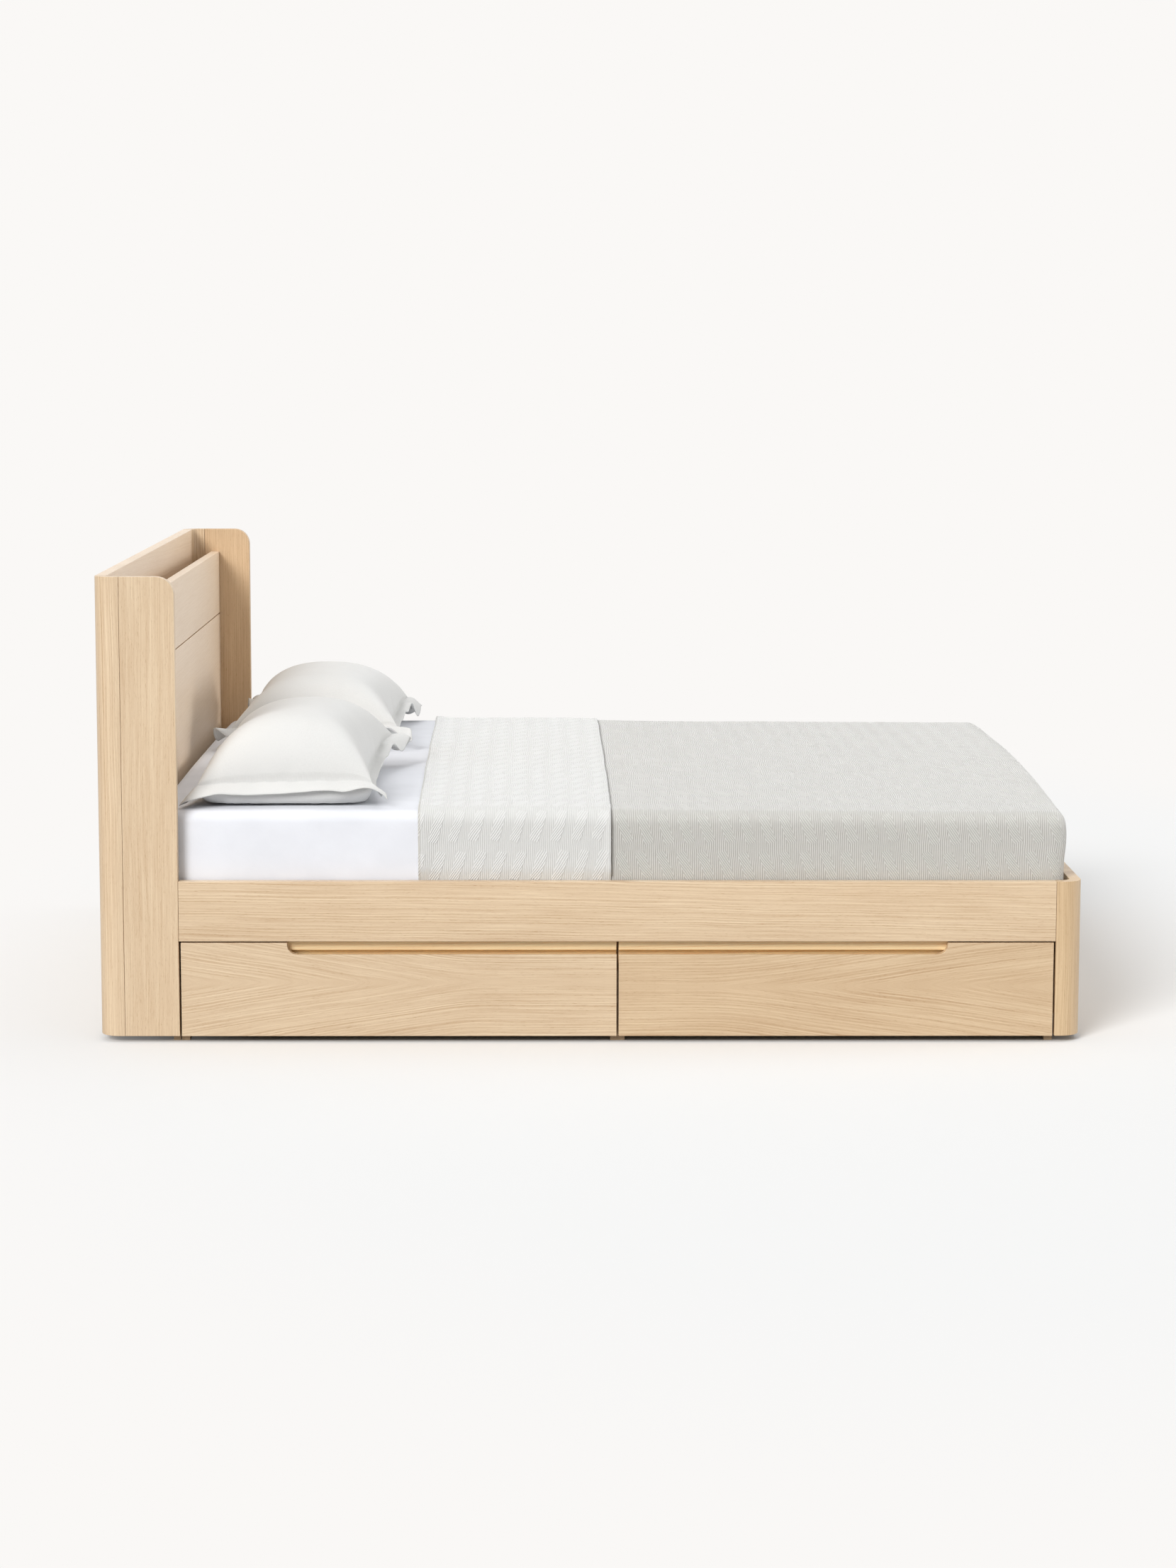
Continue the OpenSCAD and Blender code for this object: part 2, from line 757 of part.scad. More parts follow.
// One pillow: a crowned body with drawn-in sides, flat where it rests, and a flange all round
module pillow(side) {
    half_w = pillow_w / 2;
    half_l = pillow_l / 2;
    seam_a = 1 - flange_w / half_w;
    seam_b = 1 - flange_w / half_l;
    rest = cover_play + mattress_crown;
    us = pillow_steps(seam_a);
    vs = pillow_steps(seam_b);
    n = len(vs);
    function point(a, b, face) =
        let (full = fullness(a / seam_a, b / seam_b),
            lift = pillow_seam + corner_lift * pow(a * b, 4),
            z = face > 0 ? lift + flange_t / 2 + pillow_up * full
                : max(rest, lift - flange_t / 2 - pillow_down * pow(full, 0.5)))
        [a * (half_w - pillow_draw * (1 - b * b)), b * (half_l - pillow_draw * (1 - a * a)), z];
    upper = [for (a = us) for (b = vs) point(a, b, 1)];
    lower = [for (a = us) for (b = vs) point(a, b, -1)];
    all = n * n;
    color(linen)
        on_side(side)
            translate([back_x + pillow_x, near_y + pillow_inset + half_l, mattress_top])
                polyhedron(
                    points = concat(upper, lower),
                    faces = concat(
                        [for (i = [0 : n - 2]) for (j = [0 : n - 2]) for (t = [0, 1])
                            let (a = i * n + j)
                            t == 0 ? [a, a + 1, a + n] : [a + 1, a + n + 1, a + n]],
                        [for (i = [0 : n - 2]) for (j = [0 : n - 2]) for (t = [0, 1])
                            let (a = all + i * n + j)
                            t == 0 ? [a, a + n, a + 1] : [a + 1, a + n, a + n + 1]],
                        [for (j = [0 : n - 2]) [j, j + all, j + all + 1, j + 1]],
                        [for (j = [0 : n - 2]) let (a = (n - 1) * n + j) [a, a + 1, a + 1 + all, a + all]],
                        [for (i = [0 : n - 2]) let (a = i * n) [a, a + n, a + n + all, a + all]],
                        [for (i = [0 : n - 2]) let (a = i * n + n - 1) [a, a + all, a + n + all, a + n]]));
}

back_panel();
head_post("near");  // head_post_near
head_post("far");  // head_post_far
wing("near");  // wing_near
wing("far");  // wing_far
upper_fascia();
lower_panel();
headboard_shelf();
head_cross_board();
side_rail("near");  // side_rail_near
side_rail("far");  // side_rail_far
footboard();
foot_post("near");  // foot_post_near
foot_post("far");  // foot_post_far
foot_batten();
end_partition(head_partition_x);  // head_partition
middle_partition();
end_partition(foot_partition_x);  // foot_partition
centre_panels();
slat_ledges();
slats();
corner_brackets();
bed_bolts();
cabinet_slides();
mattress();
pillow("near");  // pillow_near
pillow("far");  // pillow_far
coverlet();
for (d = DRAWERS) {
    at_drawer(d) drawer_front();
    at_drawer(d) drawer_pull_strip();
    at_drawer(d) drawer_outer_side();
    at_drawer(d) drawer_inner_side();
    at_drawer(d) drawer_back();
    at_drawer(d) drawer_bottom();
    at_drawer(d) drawer_slide();
    at_drawer(d) middle_slide();
}
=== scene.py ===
import json
import math

import bmesh
import bpy
import numpy as np
from bpy.props import FloatProperty, FloatVectorProperty, IntProperty, PointerProperty
from mathutils import Matrix, Vector


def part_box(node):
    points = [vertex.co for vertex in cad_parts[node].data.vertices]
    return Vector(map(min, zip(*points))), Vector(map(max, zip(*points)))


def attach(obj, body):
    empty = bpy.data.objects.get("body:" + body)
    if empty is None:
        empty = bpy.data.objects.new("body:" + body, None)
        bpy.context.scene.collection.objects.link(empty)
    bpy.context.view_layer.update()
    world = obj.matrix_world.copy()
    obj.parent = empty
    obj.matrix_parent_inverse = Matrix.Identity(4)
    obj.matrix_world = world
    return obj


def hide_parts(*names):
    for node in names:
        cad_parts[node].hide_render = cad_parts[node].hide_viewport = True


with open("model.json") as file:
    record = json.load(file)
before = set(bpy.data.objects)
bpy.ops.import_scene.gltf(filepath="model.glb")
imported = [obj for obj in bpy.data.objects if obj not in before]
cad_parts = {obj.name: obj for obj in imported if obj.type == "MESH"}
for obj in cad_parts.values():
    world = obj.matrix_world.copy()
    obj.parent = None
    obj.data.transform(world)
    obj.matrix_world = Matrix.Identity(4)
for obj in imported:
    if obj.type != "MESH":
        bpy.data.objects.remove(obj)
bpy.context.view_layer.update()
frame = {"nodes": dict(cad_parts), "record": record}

bl_info = {
    "name": "Storage Bed",
    "version": (1, 0, 0),
    "blender": (4, 5, 0),
    "location": "3D View > Sidebar > Storage Bed",
    "description": "Dresses the packed storage bed: oak boards, drawers, mattress, pillows and coverlet",
    "category": "Object",
}

BODY_OF = {node: body for body, nodes in frame["record"]["behaviour"]["bodies"].items() for node in nodes}
NEAR_FAR = ("near", "far")
DRAWERS = ("near_head", "near_foot", "far_head", "far_foot")
X_AXIS, Y_AXIS, Z_AXIS = (1, 0, 0), (0, 1, 0), (0, 0, 1)
TURN = 2 * math.pi


def rgb(red, green, blue):
    """A colour written as 0 to 255, in the linear values that Blender's colour properties hold."""
    parts = np.array([red, green, blue]) / 255
    linear = np.where(parts <= 0.04045, parts / 12.92, ((parts + 0.055) / 1.055) ** 2.4)
    return tuple(float(part) for part in linear)


def colour(name, text, *parts):
    """A colour property, with its default's parts given as 0 to 255."""
    return FloatVectorProperty(
        name=name, description=text, subtype="COLOR", size=3, min=0, max=1, default=rgb(*parts))


def length(name, text, value):
    """A length property, in metres."""
    return FloatProperty(name=name, description=text, unit="LENGTH", min=0, default=value)


def lamp_strength(name, text, value):
    """A light's strength property."""
    return FloatProperty(name=name, description=text, min=0, default=value)


def box(node):
    """The lowest and highest corner of a CAD node, as arrays."""
    low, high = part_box(node)
    return np.array(low), np.array(high)


def tinted(tone, tint):
    """A colour with each of its parts times the tint's."""
    return tuple(part * gain for part, gain in zip(tone, tint))


# Sizes and colours that a user would change

class BoardLooks(bpy.types.PropertyGroup):
    oak_light: colour("Oak, light", "Late wood of the pale oak veneer", 235, 213, 181)
    oak_dark: colour("Oak, dark", "Pores and early wood of the pale oak veneer", 171, 131, 88)
    # The headboard panels' paler, less yellow oak is painted light, standing in for the cool fill from the
    # foot end on their faces that look that way
    lit_panel_light: colour("Panel, light", "Late wood of the headboard's panels", 241, 221, 197)
    lit_panel_dark: colour("Panel, dark", "Pores and early wood of the headboard's panels", 207, 177, 143)
    inside_light: colour("Inner board, light", "Light grain of the inner boards", 214, 190, 158)
    inside_dark: colour("Inner board, dark", "Dark grain of the inner boards", 170, 138, 104)
    solid_light: colour("Solid oak, light", "Light grain of the pull strips", 255, 236, 190)
    solid_dark: colour("Solid oak, dark", "Dark grain of the pull strips", 236, 186, 130)
    birch_light: colour("Birch, light", "Light grain of the slats and drawer boxes", 232, 217, 188)
    birch_dark: colour("Birch, dark", "Dark grain of the slats and drawer boxes", 204, 180, 142)
    steel: colour("Steel", "Zinc plate on the slides, bolts and brackets", 178, 181, 186)
    edge_width: length("Edge", "Width of the eased edges of the visible boards", 0.0008)
    strip_edge: length("Strip edge", "Rounding of the pull strips", 0.002)
    gloss: FloatProperty(name="Lacquer", description="Weight of the matt lacquer", min=0, max=1, default=0.4)


class BeddingLooks(bpy.types.PropertyGroup):
    sheet: colour("Sheet", "Fitted sheet", 233, 235, 241)
    linen: colour("Pillow linen", "Covers of the pillows", 219, 219, 217)
    cover_rib: colour("Coverlet rib", "Raised ribs on the face of the coverlet", 212, 211, 206)
    cover_groove: colour("Coverlet groove", "Ground between the ribs", 189, 187, 181)
    reverse_rib: colour("Reverse rib", "Raised ribs on the reverse of the coverlet", 228, 228, 226)
    reverse_groove: colour("Reverse groove", "Ground on the reverse", 215, 215, 212)


class BeddingSizes(bpy.types.PropertyGroup):
    cloth: length("Coverlet cloth", "Thickness of the coverlet's cloth", 0.0024)
    fold_lift: length("Fold lift", "Extra height of the coverlet where it is folded back", 0.005)
    puff: length("Puff", "Air between the folded band and the cloth under it", 0.004)
    rib_pitch: length("Rib pitch", "Distance from rib to rib on the coverlet", 0.0045)
    flange: length("Flange", "Width of the flange round a pillow", 0.032)
    stitch: length("Stitch", "Length of a stitch on a pillow's seam", 0.003)
    reach: length("Swell", "Furthest that the filling presses a point of a cover outwards", 0.010)
    sim_frames: IntProperty(
        name="Frames", description="Length of the pillows' cloth simulation", min=2, default=16)


class StudioSettings(bpy.types.PropertyGroup):
    background: colour("Background", "What the camera sees behind the bed", 250, 248, 246)
    ambient: lamp_strength("Ambient", "Strength of the light from all sides", 0.20)
    key: lamp_strength("Key", "Strength of the soft light from the front left", 0.78)
    fill: lamp_strength("Fill", "Strength of the low light from the foot end", 0.42)
    top: lamp_strength("Top", "Strength of the soft light from above", 0.20)
    focal_length: FloatProperty(
        name="Focal length", description="Lens of the camera", unit="CAMERA", min=1, default=78.707)


# Shader maths

class Value:
    """A number socket in a material, whose arithmetic adds Math nodes to that material."""

    def __init__(self, paint, socket):
        self.paint = paint
        self.socket = socket

    def __add__(self, other):
        return self.paint.math("ADD", self, other)

    def __sub__(self, other):
        return self.paint.math("SUBTRACT", self, other)

    def __rsub__(self, other):
        return self.paint.math("SUBTRACT", other, self)

    def __mul__(self, other):
        return self.paint.math("MULTIPLY", self, other)

    def __truediv__(self, other):
        return self.paint.math("DIVIDE", self, other)

    def __abs__(self):
        return self.paint.math("ABSOLUTE", self)

    __radd__ = __add__
    __rmul__ = __mul__


class Paint:
    """One material under construction: its node tree, its main shader and the nodes that feed it."""

    def __init__(self, name, roughness=0.5, metallic=0.0, sheen=0.0, tree=None):
        if tree is None:
            self.material = bpy.data.materials.new(name)
            self.material.use_nodes = True
            tree = self.material.node_tree
            self.shader = tree.nodes["Principled BSDF"]
            self.shader.inputs["Roughness"].default_value = roughness
            self.shader.inputs["Metallic"].default_value = metallic
            self.shader.inputs["Sheen Weight"].default_value = sheen
        self.tree = tree

    def node(self, kind, settings, inputs):
        """Adds a node: its settings first, then its sockets by name or number, as values or as links."""
        made = self.tree.nodes.new(kind)
        for key, value in settings.items():
            setattr(made, key, value)
        for key, value in inputs.items():
            self.feed(made.inputs[key], value)
        return made

    def feed(self, socket, value):
        """Links a socket's value to the socket, or sets the socket to a plain value."""
        if isinstance(value, Value):
            value = value.socket
        if isinstance(value, bpy.types.NodeSocket):
            self.tree.links.new(value, socket)
        elif socket.type == "RGBA" and len(value) == 3:
            socket.default_value = (*value, 1.0)
        else:
            socket.default_value = value

    def math(self, operation, *values, clamp=False):
        settings = {"operation": operation, "use_clamp": clamp}
        return Value(self, self.node("ShaderNodeMath", settings, dict(enumerate(values))).outputs[0])

    def vector(self, x, y, z):
        return self.node("ShaderNodeCombineXYZ", {}, {0: x, 1: y, 2: z}).outputs[0]

    def split(self, vector):
        parts = self.node("ShaderNodeSeparateXYZ", {}, {0: vector})
        return [Value(self, output) for output in parts.outputs]

    def place(self):
        """X, Y and Z of the point on the object, in metres."""
        return self.split(self.node("ShaderNodeTexCoord", {}, {}).outputs["Object"])

    def cloth_place(self):
        """The point on the cloth in metres along its own two edges, from the piece's UV map."""
        return self.split(self.node("ShaderNodeTexCoord", {}, {}).outputs["UV"])[:2]

    def noise(self, x, y, z, detail=2.0, roughness=0.5):
        """Noise around 0.5 at a place given in noise cells."""
        inputs = {"Vector": self.vector(x, y, z), "Scale": 1.0, "Detail": detail, "Roughness": roughness}
        return Value(self, self.node("ShaderNodeTexNoise", {}, inputs).outputs[0])

    def step(self, value, low, high):
        """0 under low and 1 over high, with a smooth rise between them."""
        inputs = {0: value, 1: low, 2: high, 3: 0.0, 4: 1.0}
        settings = {"interpolation_type": "SMOOTHSTEP"}
        return Value(self, self.node("ShaderNodeMapRange", settings, inputs).outputs[0])

    def mix(self, factor, first, second):
        """The first colour where the factor is 0 and the second where it is 1."""
        made = self.node("ShaderNodeMix", {"data_type": "RGBA"}, {0: factor, 6: first, 7: second})
        return made.outputs[2]

    def bump(self, height, distance, strength=1.0):
        made = self.node("ShaderNodeBump", {}, {"Height": height, "Distance": distance, "Strength": strength})
        self.feed(self.shader.inputs["Normal"], made.outputs[0])

    def base(self, value):
        self.feed(self.shader.inputs["Base Color"], value)

    def roughness(self, value):
        self.feed(self.shader.inputs["Roughness"], value)


# Finishes

def dot(place, axis):
    """Sum of the coordinates times an axis's parts, leaving out the parts that are 0."""
    total = 0
    for part, weight in zip(place, axis):
        if weight:
            total = part * weight + total
    return total


def wood(name, light, dark, along, across, seed, centre=0.0, slope=0.02, tip=0.010, reach=9.0,
         pitch=0.0065, figure=1.0, pores=1.0, streaks=1.0, roughness=0.5, gloss=0.0):
    """Sawn wood. Depth in the log is the square root of (across squared + tip squared) + slope * along,
    cut into uneven rings of about the given pitch, so they run out in nested arches that end at reach
    along the grain. Pores and fibres are noise drawn out along the grain, and follow the rings. They fade
    on the arches' middle line. Gloss is the lacquer's weight."""
    wander, shiver = 0.022, 0.0018  # Metres that the rings stray, over long and over short stretches
    uneven = 2.6  # How far a ring strays from its even place, in rings
    ground = 0.31  # Tone of plain wood, between light at 0 and dark at 1
    paint = Paint(name, roughness=roughness)
    paint.shader.inputs["Coat Weight"].default_value = gloss
    paint.shader.inputs["Coat Roughness"].default_value = 0.28
    place = paint.place()
    a = dot(place, along)
    u = dot(place, across)
    w = dot(place, [1 - abs(p) - abs(q) for p, q in zip(along, across)])
    drift = paint.noise(a * 1.6, u * 5, seed) - 0.5
    wobble = paint.noise(a * 12, u * 45, seed + 3.3) - 0.5
    offset = u - centre + drift * wander + wobble * shiver
    climb = paint.math("SMOOTH_MIN", a * slope, reach * slope, 0.02)
    depth = paint.math("SQRT", offset * offset + tip * tip) + climb
    ring = depth / pitch
    ring = ring + (paint.noise(ring * 0.45, seed, 0.0, detail=3.0) - 0.5) * uneven
    band = paint.math("FRACT", ring)
    strength = paint.step(paint.noise(ring * 0.7, seed + 1.7, a * 0.8), 0.30, 0.72)
    strength = strength * paint.step(abs(offset), tip * 0.5, tip * 0.5 + 0.014)
    early = paint.step(band, 0.30, 0.86) * (1 - paint.step(band, 0.9, 1.0))
    late = paint.step(band, 0.0, 0.12) * (1 - paint.step(band, 0.14, 0.4))
    fibre = paint.noise(a * 9, depth * 520, w * 420 + seed, detail=4.0, roughness=0.75) - 0.5
    streak = paint.noise(a * 4, depth * 150, seed + 8.2, detail=3.0) - 0.5
    dash = paint.noise(a * 80, depth * 1000, w * 950 + seed + 5.1, detail=1.0)
    pore = paint.step(dash, 0.60, 0.72)
    cloud = paint.noise(a * 2.2, u * 12, seed + 11.9, detail=3.0) - 0.5
    clear = paint.step(abs(offset), 0.001, 0.012) * 0.75 + 0.25
    shade = (
        ground + (early * 0.24 - late * 0.20) * strength * figure
        + (fibre * 0.80 + streak * (0.50 * streaks)) * clear
        + cloud * 0.34 + pore * (early * strength * 0.20 + 0.15) * clear * pores
    )
    tone = paint.math("ADD", shade, 0.0, clamp=True)
    paint.base(paint.mix(tone, light, dark))
    paint.roughness(pore * 0.12 + (roughness - 0.02) + fibre * 0.08)
    paint.bump(fibre * 0.6 - pore * pores - early * 0.3, 0.00022, 0.5)
    return paint.material


def birch(name, looks, along, across, seed):
    """Birch plywood: wide faint rings and hardly any pores."""
    return wood(name, looks.birch_light, looks.birch_dark, along, across, seed, 0.3, 0.04,
                pitch=0.013, figure=0.5, pores=0.15, roughness=0.55)


def zinc(name, tint):
    """Zinc-plated steel: brushed along its length, with faint clouds in the plating."""
    paint = Paint(name, roughness=0.34, metallic=1.0)
    x, y, z = paint.place()
    brushed = paint.noise(x * 1500, y * 12, z * 1500, detail=2.0)
    cloud = paint.noise(x * 40, y * 40, z * 40, detail=3.0)
    dull = tuple(part * 0.72 for part in tint)
    paint.base(paint.mix(paint.step(cloud * 0.7 + brushed * 0.3, 0.3, 0.7), dull, tint))
    paint.roughness(0.26 + cloud * 0.16 + brushed * 0.08)
    paint.bump(brushed, 0.00005, 0.4)
    return paint.material


def weave(paint, u, v, pitch):
    """Height of a plain weave: the product of two sines, one along each thread direction."""
    turn = TURN / pitch
    return paint.math("SINE", u * turn) * paint.math("SINE", v * turn)


def percale(name, tint):
    """White cotton percale: a fine plain weave under soft creases."""
    paint = Paint(name, roughness=0.85, sheen=0.15)
    x, y, z = paint.place()
    cloud = paint.noise(x * 9, y * 9, z * 9, detail=4.0)
    creases = paint.noise(x * 14 + z * 9, y * 5, z * 16, detail=4.0, roughness=0.6)
    shaded = tuple(part * 0.94 for part in tint)
    paint.base(paint.mix(paint.step(cloud, 0.3, 0.75), tint, shaded))
    paint.bump(creases + weave(paint, x + z, y + z, 0.0007) * 0.012, 0.004, 0.35)
    return paint.material


def linen(name, tint, stitch, seams):
    """Washed linen: slubs along both thread directions, and a stitched line along the flange's seam, darkened
    between the stitches as painted shade in the seam's crease.
    The UV map holds the distances from the pillow's middle; seams are the half sizes of the seam line."""
    slow, quick = 160, 1500  # Cells of a slub to the metre, along its thread and across it
    dark, clear = 0.0004, 0.0011  # Metres from the seam line up to which its painted crease shade is dark, and where it is gone
    paint = Paint(name, roughness=0.88, sheen=0.2)
    u, v = paint.cloth_place()
    x, y, z = paint.place()
    slub_u = paint.noise(x * slow, y * quick, z * quick, detail=2.0)
    slub_v = paint.noise(x * quick, y * slow, z * slow, detail=2.0)
    cloud = paint.noise(u * 7, v * 7, 2.2, detail=4.0)
    shaded = tuple(part * 0.92 for part in tint)
    shade = (slub_u + slub_v) * 0.5 + cloud * 0.5
    line_u = 1 - paint.step(abs(abs(u) - seams[0]), dark, clear)
    line_v = 1 - paint.step(abs(abs(v) - seams[1]), dark, clear)
    on_u = line_u * (1 - paint.step(abs(v) - seams[1], 0.0, 0.0005))
    on_v = line_v * (1 - paint.step(abs(u) - seams[0], 0.0, 0.0005))
    dash = paint.step(paint.math("SINE", (u + v) * (TURN / stitch)), -0.5, 0.1)
    seam = paint.math("MAXIMUM", on_u, on_v)
    creases = paint.noise(u * 11, v * 11, 7.7, detail=5.0, roughness=0.6)
    # The seam line, but not its stitches, is darkened: painted shade in the seam's crease
    paint.base(paint.mix(paint.step(shade, 0.62, 1.05) + seam * (1 - dash) * 0.9, tint, shaded))
    paint.bump(creases * 0.8 + (slub_u + slub_v) * 0.03 - seam * 0.35 + seam * dash * 0.2, 0.003, 0.5)
    return paint.material


def jacquard(name, looks, pitch, fold, rail):
    """The coverlet's ribs: nested slanted frames in columns of ten ribs. The rib number is the larger of the
    distance to the column's middle and the slanted distance to the frame's middle, each over its own pitch.
    Rows are set out from the rail, at t = rail. Up to s = fold the cloth is folded back and shows its
    reverse: the same ribs, softer, on a dotted ground."""
    ribs = 10  # To a column
    slant = 1.4  # Metres up for each metre along
    row = 0.085  # Height of a row of frames
    over_rail = 0.074  # From the rail to the end of the first row
    half_open = 0.008  # Half the height of the upright part at a frame's middle
    stray_s, stray_t = 0.012, 0.030  # Metres that the weave is pulled out of line
    dot_s, dot_t = 0.0019, 0.0023  # Pitch of the dots on the reverse
    paint = Paint(name, roughness=0.9, sheen=0.65)
    s, t = paint.cloth_place()
    column = pitch * ribs
    middle = rail + over_rail - row / 2
    sway = (paint.noise(s * 9, t * 9, 3.1, detail=2.0) - 0.5) * stray_s
    pull = (paint.noise(s * 5, t * 7, 8.4, detail=2.0) - 0.5) * stray_t
    x = paint.math("FRACT", (s + sway) / column) - 0.5
    y = paint.math("FRACT", (t + pull - middle + x * (column * slant)) / row) - 0.5
    side = abs(x) * ribs
    slanted = (abs(y) * row - half_open) / (pitch * math.hypot(1, slant))
    rib = paint.math("COSINE", paint.math("MAXIMUM", side, slanted) * TURN)
    frames = paint.step(slanted - side, -0.3, 0.3) - 0.5
    reverse = 1 - paint.step(s, fold - 0.001, fold + 0.001)
    dots = paint.math("SINE", s * (TURN / dot_s)) * paint.math("SINE", t * (TURN / dot_t))
    yarn = paint.noise(s * 900, t * 900, 0.7, detail=1.0)
    worn = paint.noise(s * 60, t * 60, 5.9, detail=2.0)
    uneven = (yarn - 0.5) * 0.5 + (worn - 0.5) * 0.8 + frames * (reverse * 0.6 + 0.25)
    raised = paint.step(rib + dots * reverse * 0.5 + uneven, -0.5, 1.0)
    face = paint.mix(raised, looks.cover_groove, looks.cover_rib)
    back = paint.mix(raised, looks.reverse_groove, looks.reverse_rib)
    paint.base(paint.mix(reverse, face, back))
    relief = rib * (1 - reverse * 0.3) + frames * (reverse * 1.0 + 0.3)
    paint.bump(relief + dots * reverse * 0.3 + yarn * 0.15, 0.0007, 0.8)
    return paint.material


# Mesh making

def chain(*parts):
    """Arrays put end to end, along their first axis."""
    return np.concatenate(parts)


def grid_faces(rows, columns, closed=False):
    """Quads between neighbouring rows of a grid of points; closed joins the last column to the first."""
    i = np.arange(rows - 1)[:, None] * columns
    j = np.arange(columns if closed else columns - 1)[None, :]
    k = (j + 1) % columns
    return np.stack([i + j, i + k, i + columns + k, i + columns + j], axis=-1).reshape(-1, 4)


def add(name, data):
    """A new object in the scene, at the origin."""
    made = bpy.data.objects.new(name, data)
    bpy.context.scene.collection.objects.link(made)
    return made


def make(name, points, faces, uv=None, body="root"):
    """A smooth mesh object from points and faces, with one UV pair for each point, riding on a body."""
    mesh = bpy.data.meshes.new(name)
    places = np.asarray(points, float).reshape(-1, 3).tolist()
    mesh.from_pydata(places, [], [list(map(int, face)) for face in faces])
    if uv is not None:
        corners = np.empty(len(mesh.loops), np.int32)
        mesh.loops.foreach_get("vertex_index", corners)
        layer = mesh.uv_layers.new(name="cloth")
        layer.uv.foreach_set("vector", np.asarray(uv, np.float32).reshape(-1, 2)[corners].ravel())
    mesh.polygons.foreach_set("use_smooth", np.full(len(mesh.polygons), True))
    mesh.update()
    made = add(name, mesh)
    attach(made, body)
    return made


def eased_copy(node, width, material):
    """A copy of a board's CAD mesh with its doubles merged, its flat faces joined and its edges eased."""
    flat, sharp = math.radians(0.5), math.radians(30)
    mesh = frame["nodes"][node].data.copy()
    build = bmesh.new()
    build.from_mesh(mesh)
    bmesh.ops.remove_doubles(build, verts=build.verts, dist=1e-6)
    bmesh.ops.dissolve_limit(build, angle_limit=flat, verts=build.verts, edges=build.edges)
    build.to_mesh(mesh)
    build.free()
    mesh.materials.clear()
    mesh.materials.append(material)
    mesh.polygons.foreach_set("use_smooth", np.full(len(mesh.polygons), True))
    mesh.set_sharp_from_angle(angle=sharp)
    board = add("oak_" + node, mesh)
    bevel = board.modifiers.new("eased edges", "BEVEL")
    bevel.width = width
    bevel.segments = 2
    bevel.limit_method = "ANGLE"
    bevel.angle_limit = sharp
    bevel.use_clamp_overlap = False
    bevel.harden_normals = True
    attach(board, BODY_OF[node])
    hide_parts(node)
    return board


def dress(node, material):
    """Gives a CAD node its finish and leaves its mesh alone."""
    target = frame["nodes"][node]
    if not target.material_slots:
        raise RuntimeError(f"{node} has no material slot")
    for slot in target.material_slots:
        slot.material = material


def ripple(u, v, seed, wavelength, count=7):
    """Smooth uneven ground between -1 and 1: a sum of sines of u and v in seeded directions."""
    draw = np.random.default_rng(seed)
    total = np.zeros(np.broadcast(u, v).shape)
    for _ in range(count):
        angle, phase = draw.uniform(0, TURN), draw.uniform(0, TURN)
        scale = draw.uniform(0.6, 1.7)
        turn = TURN / (wavelength * scale)
        total += np.sin((u * math.cos(angle) + v * math.sin(angle)) * turn + phase)
    return total / count


def smooth_step(value, low, high):
    """0 under low and 1 over high, and 3 t squared - 2 t cubed between them."""
    t = np.clip((value - low) / (high - low), 0, 1)
    return t * t * (3 - 2 * t)


# The mattress's section, shared by the mattress and the coverlet

MATTRESS_LOW, MATTRESS_HIGH = box("mattress")
EDGE_RADIUS = 0.026
CROWN = 0.006  # How far the top rises from its edges to its middle
TOP = MATTRESS_HIGH[2] - CROWN
HALF_WIDTH = MATTRESS_HIGH[1]
END_X = MATTRESS_HIGH[0] - 0.004
SLAT_TOP = MATTRESS_LOW[2]
REST = TOP + CROWN + 0.0004  # Lowest place for a pillow's cover, just over the mattress's middle
TUCK = 0.006  # From the slats to the coverlet's tucked edge
RAIL_TOP = box("side_rail_near")[1][2]


def over_mattress(low, arc_steps, side_steps, top_steps):
    """Half path over the mattress in its cross-section, from low on the side up to the top and in to the
    middle, then mirrored: points, outward normals and distance along the path, from near to far."""
    half, r = HALF_WIDTH, EDGE_RADIUS
    side = np.linspace(low, TOP - r, side_steps, endpoint=False)
    arc = np.linspace(0, math.pi / 2, arc_steps, endpoint=False)
    across = np.linspace(1, 0, top_steps)
    y = chain(np.full(side_steps, half), half - r + r * np.cos(arc), (half - r) * across)
    z = chain(side, TOP - r + r * np.sin(arc), TOP + CROWN * (1 - across ** 2))
    ny = chain(np.ones(side_steps), np.cos(arc), np.zeros(top_steps))
    nz = chain(np.zeros(side_steps), np.sin(arc), np.ones(top_steps))
    y, ny = chain(-y, y[-2::-1]), chain(-ny, ny[-2::-1])
    z, nz = chain(z, z[-2::-1]), chain(nz, nz[-2::-1])
    along = chain([0], np.cumsum(np.hypot(np.diff(y), np.diff(z))))
    return y, z, ny, nz, along


def settle(xs, ys, zs, crown, bulge):
    """How the bedding sits towards the foot: its edges sag a little, its middle is crowned by crown, and its
    end swells by bulge over the footboard, most at the far corner. Each is a product of smooth steps along,
    across and up. Returns the shifts along the bed and upwards."""
    sag = 0.009
    foot = 0.75 * smooth_step(xs, -0.15, 0.35) + 0.25 * smooth_step(xs, 0.4, 1.0)
    above = smooth_step(zs, RAIL_TOP + 0.01, TOP - 0.03)
    across = np.clip(ys / HALF_WIDTH, -1, 1)
    rise = crown * smooth_step(xs, -0.35, 0.3) * (1 - across ** 2) - sag * foot * across ** 2
    fuller = 0.25 + 0.2 * smooth_step(across, -0.9, 0.2) + 1.0 * smooth_step(across, 0.35, 1.0)
    end = smooth_step(xs, 0.8, 1.03) * fuller
    swell = smooth_step(zs, RAIL_TOP + 0.02, RAIL_TOP + 0.10)
    swell = swell * (1 - 0.3 * smooth_step(zs, TOP - 0.05, TOP))
    return bulge * end * swell, rise * above


# Operators

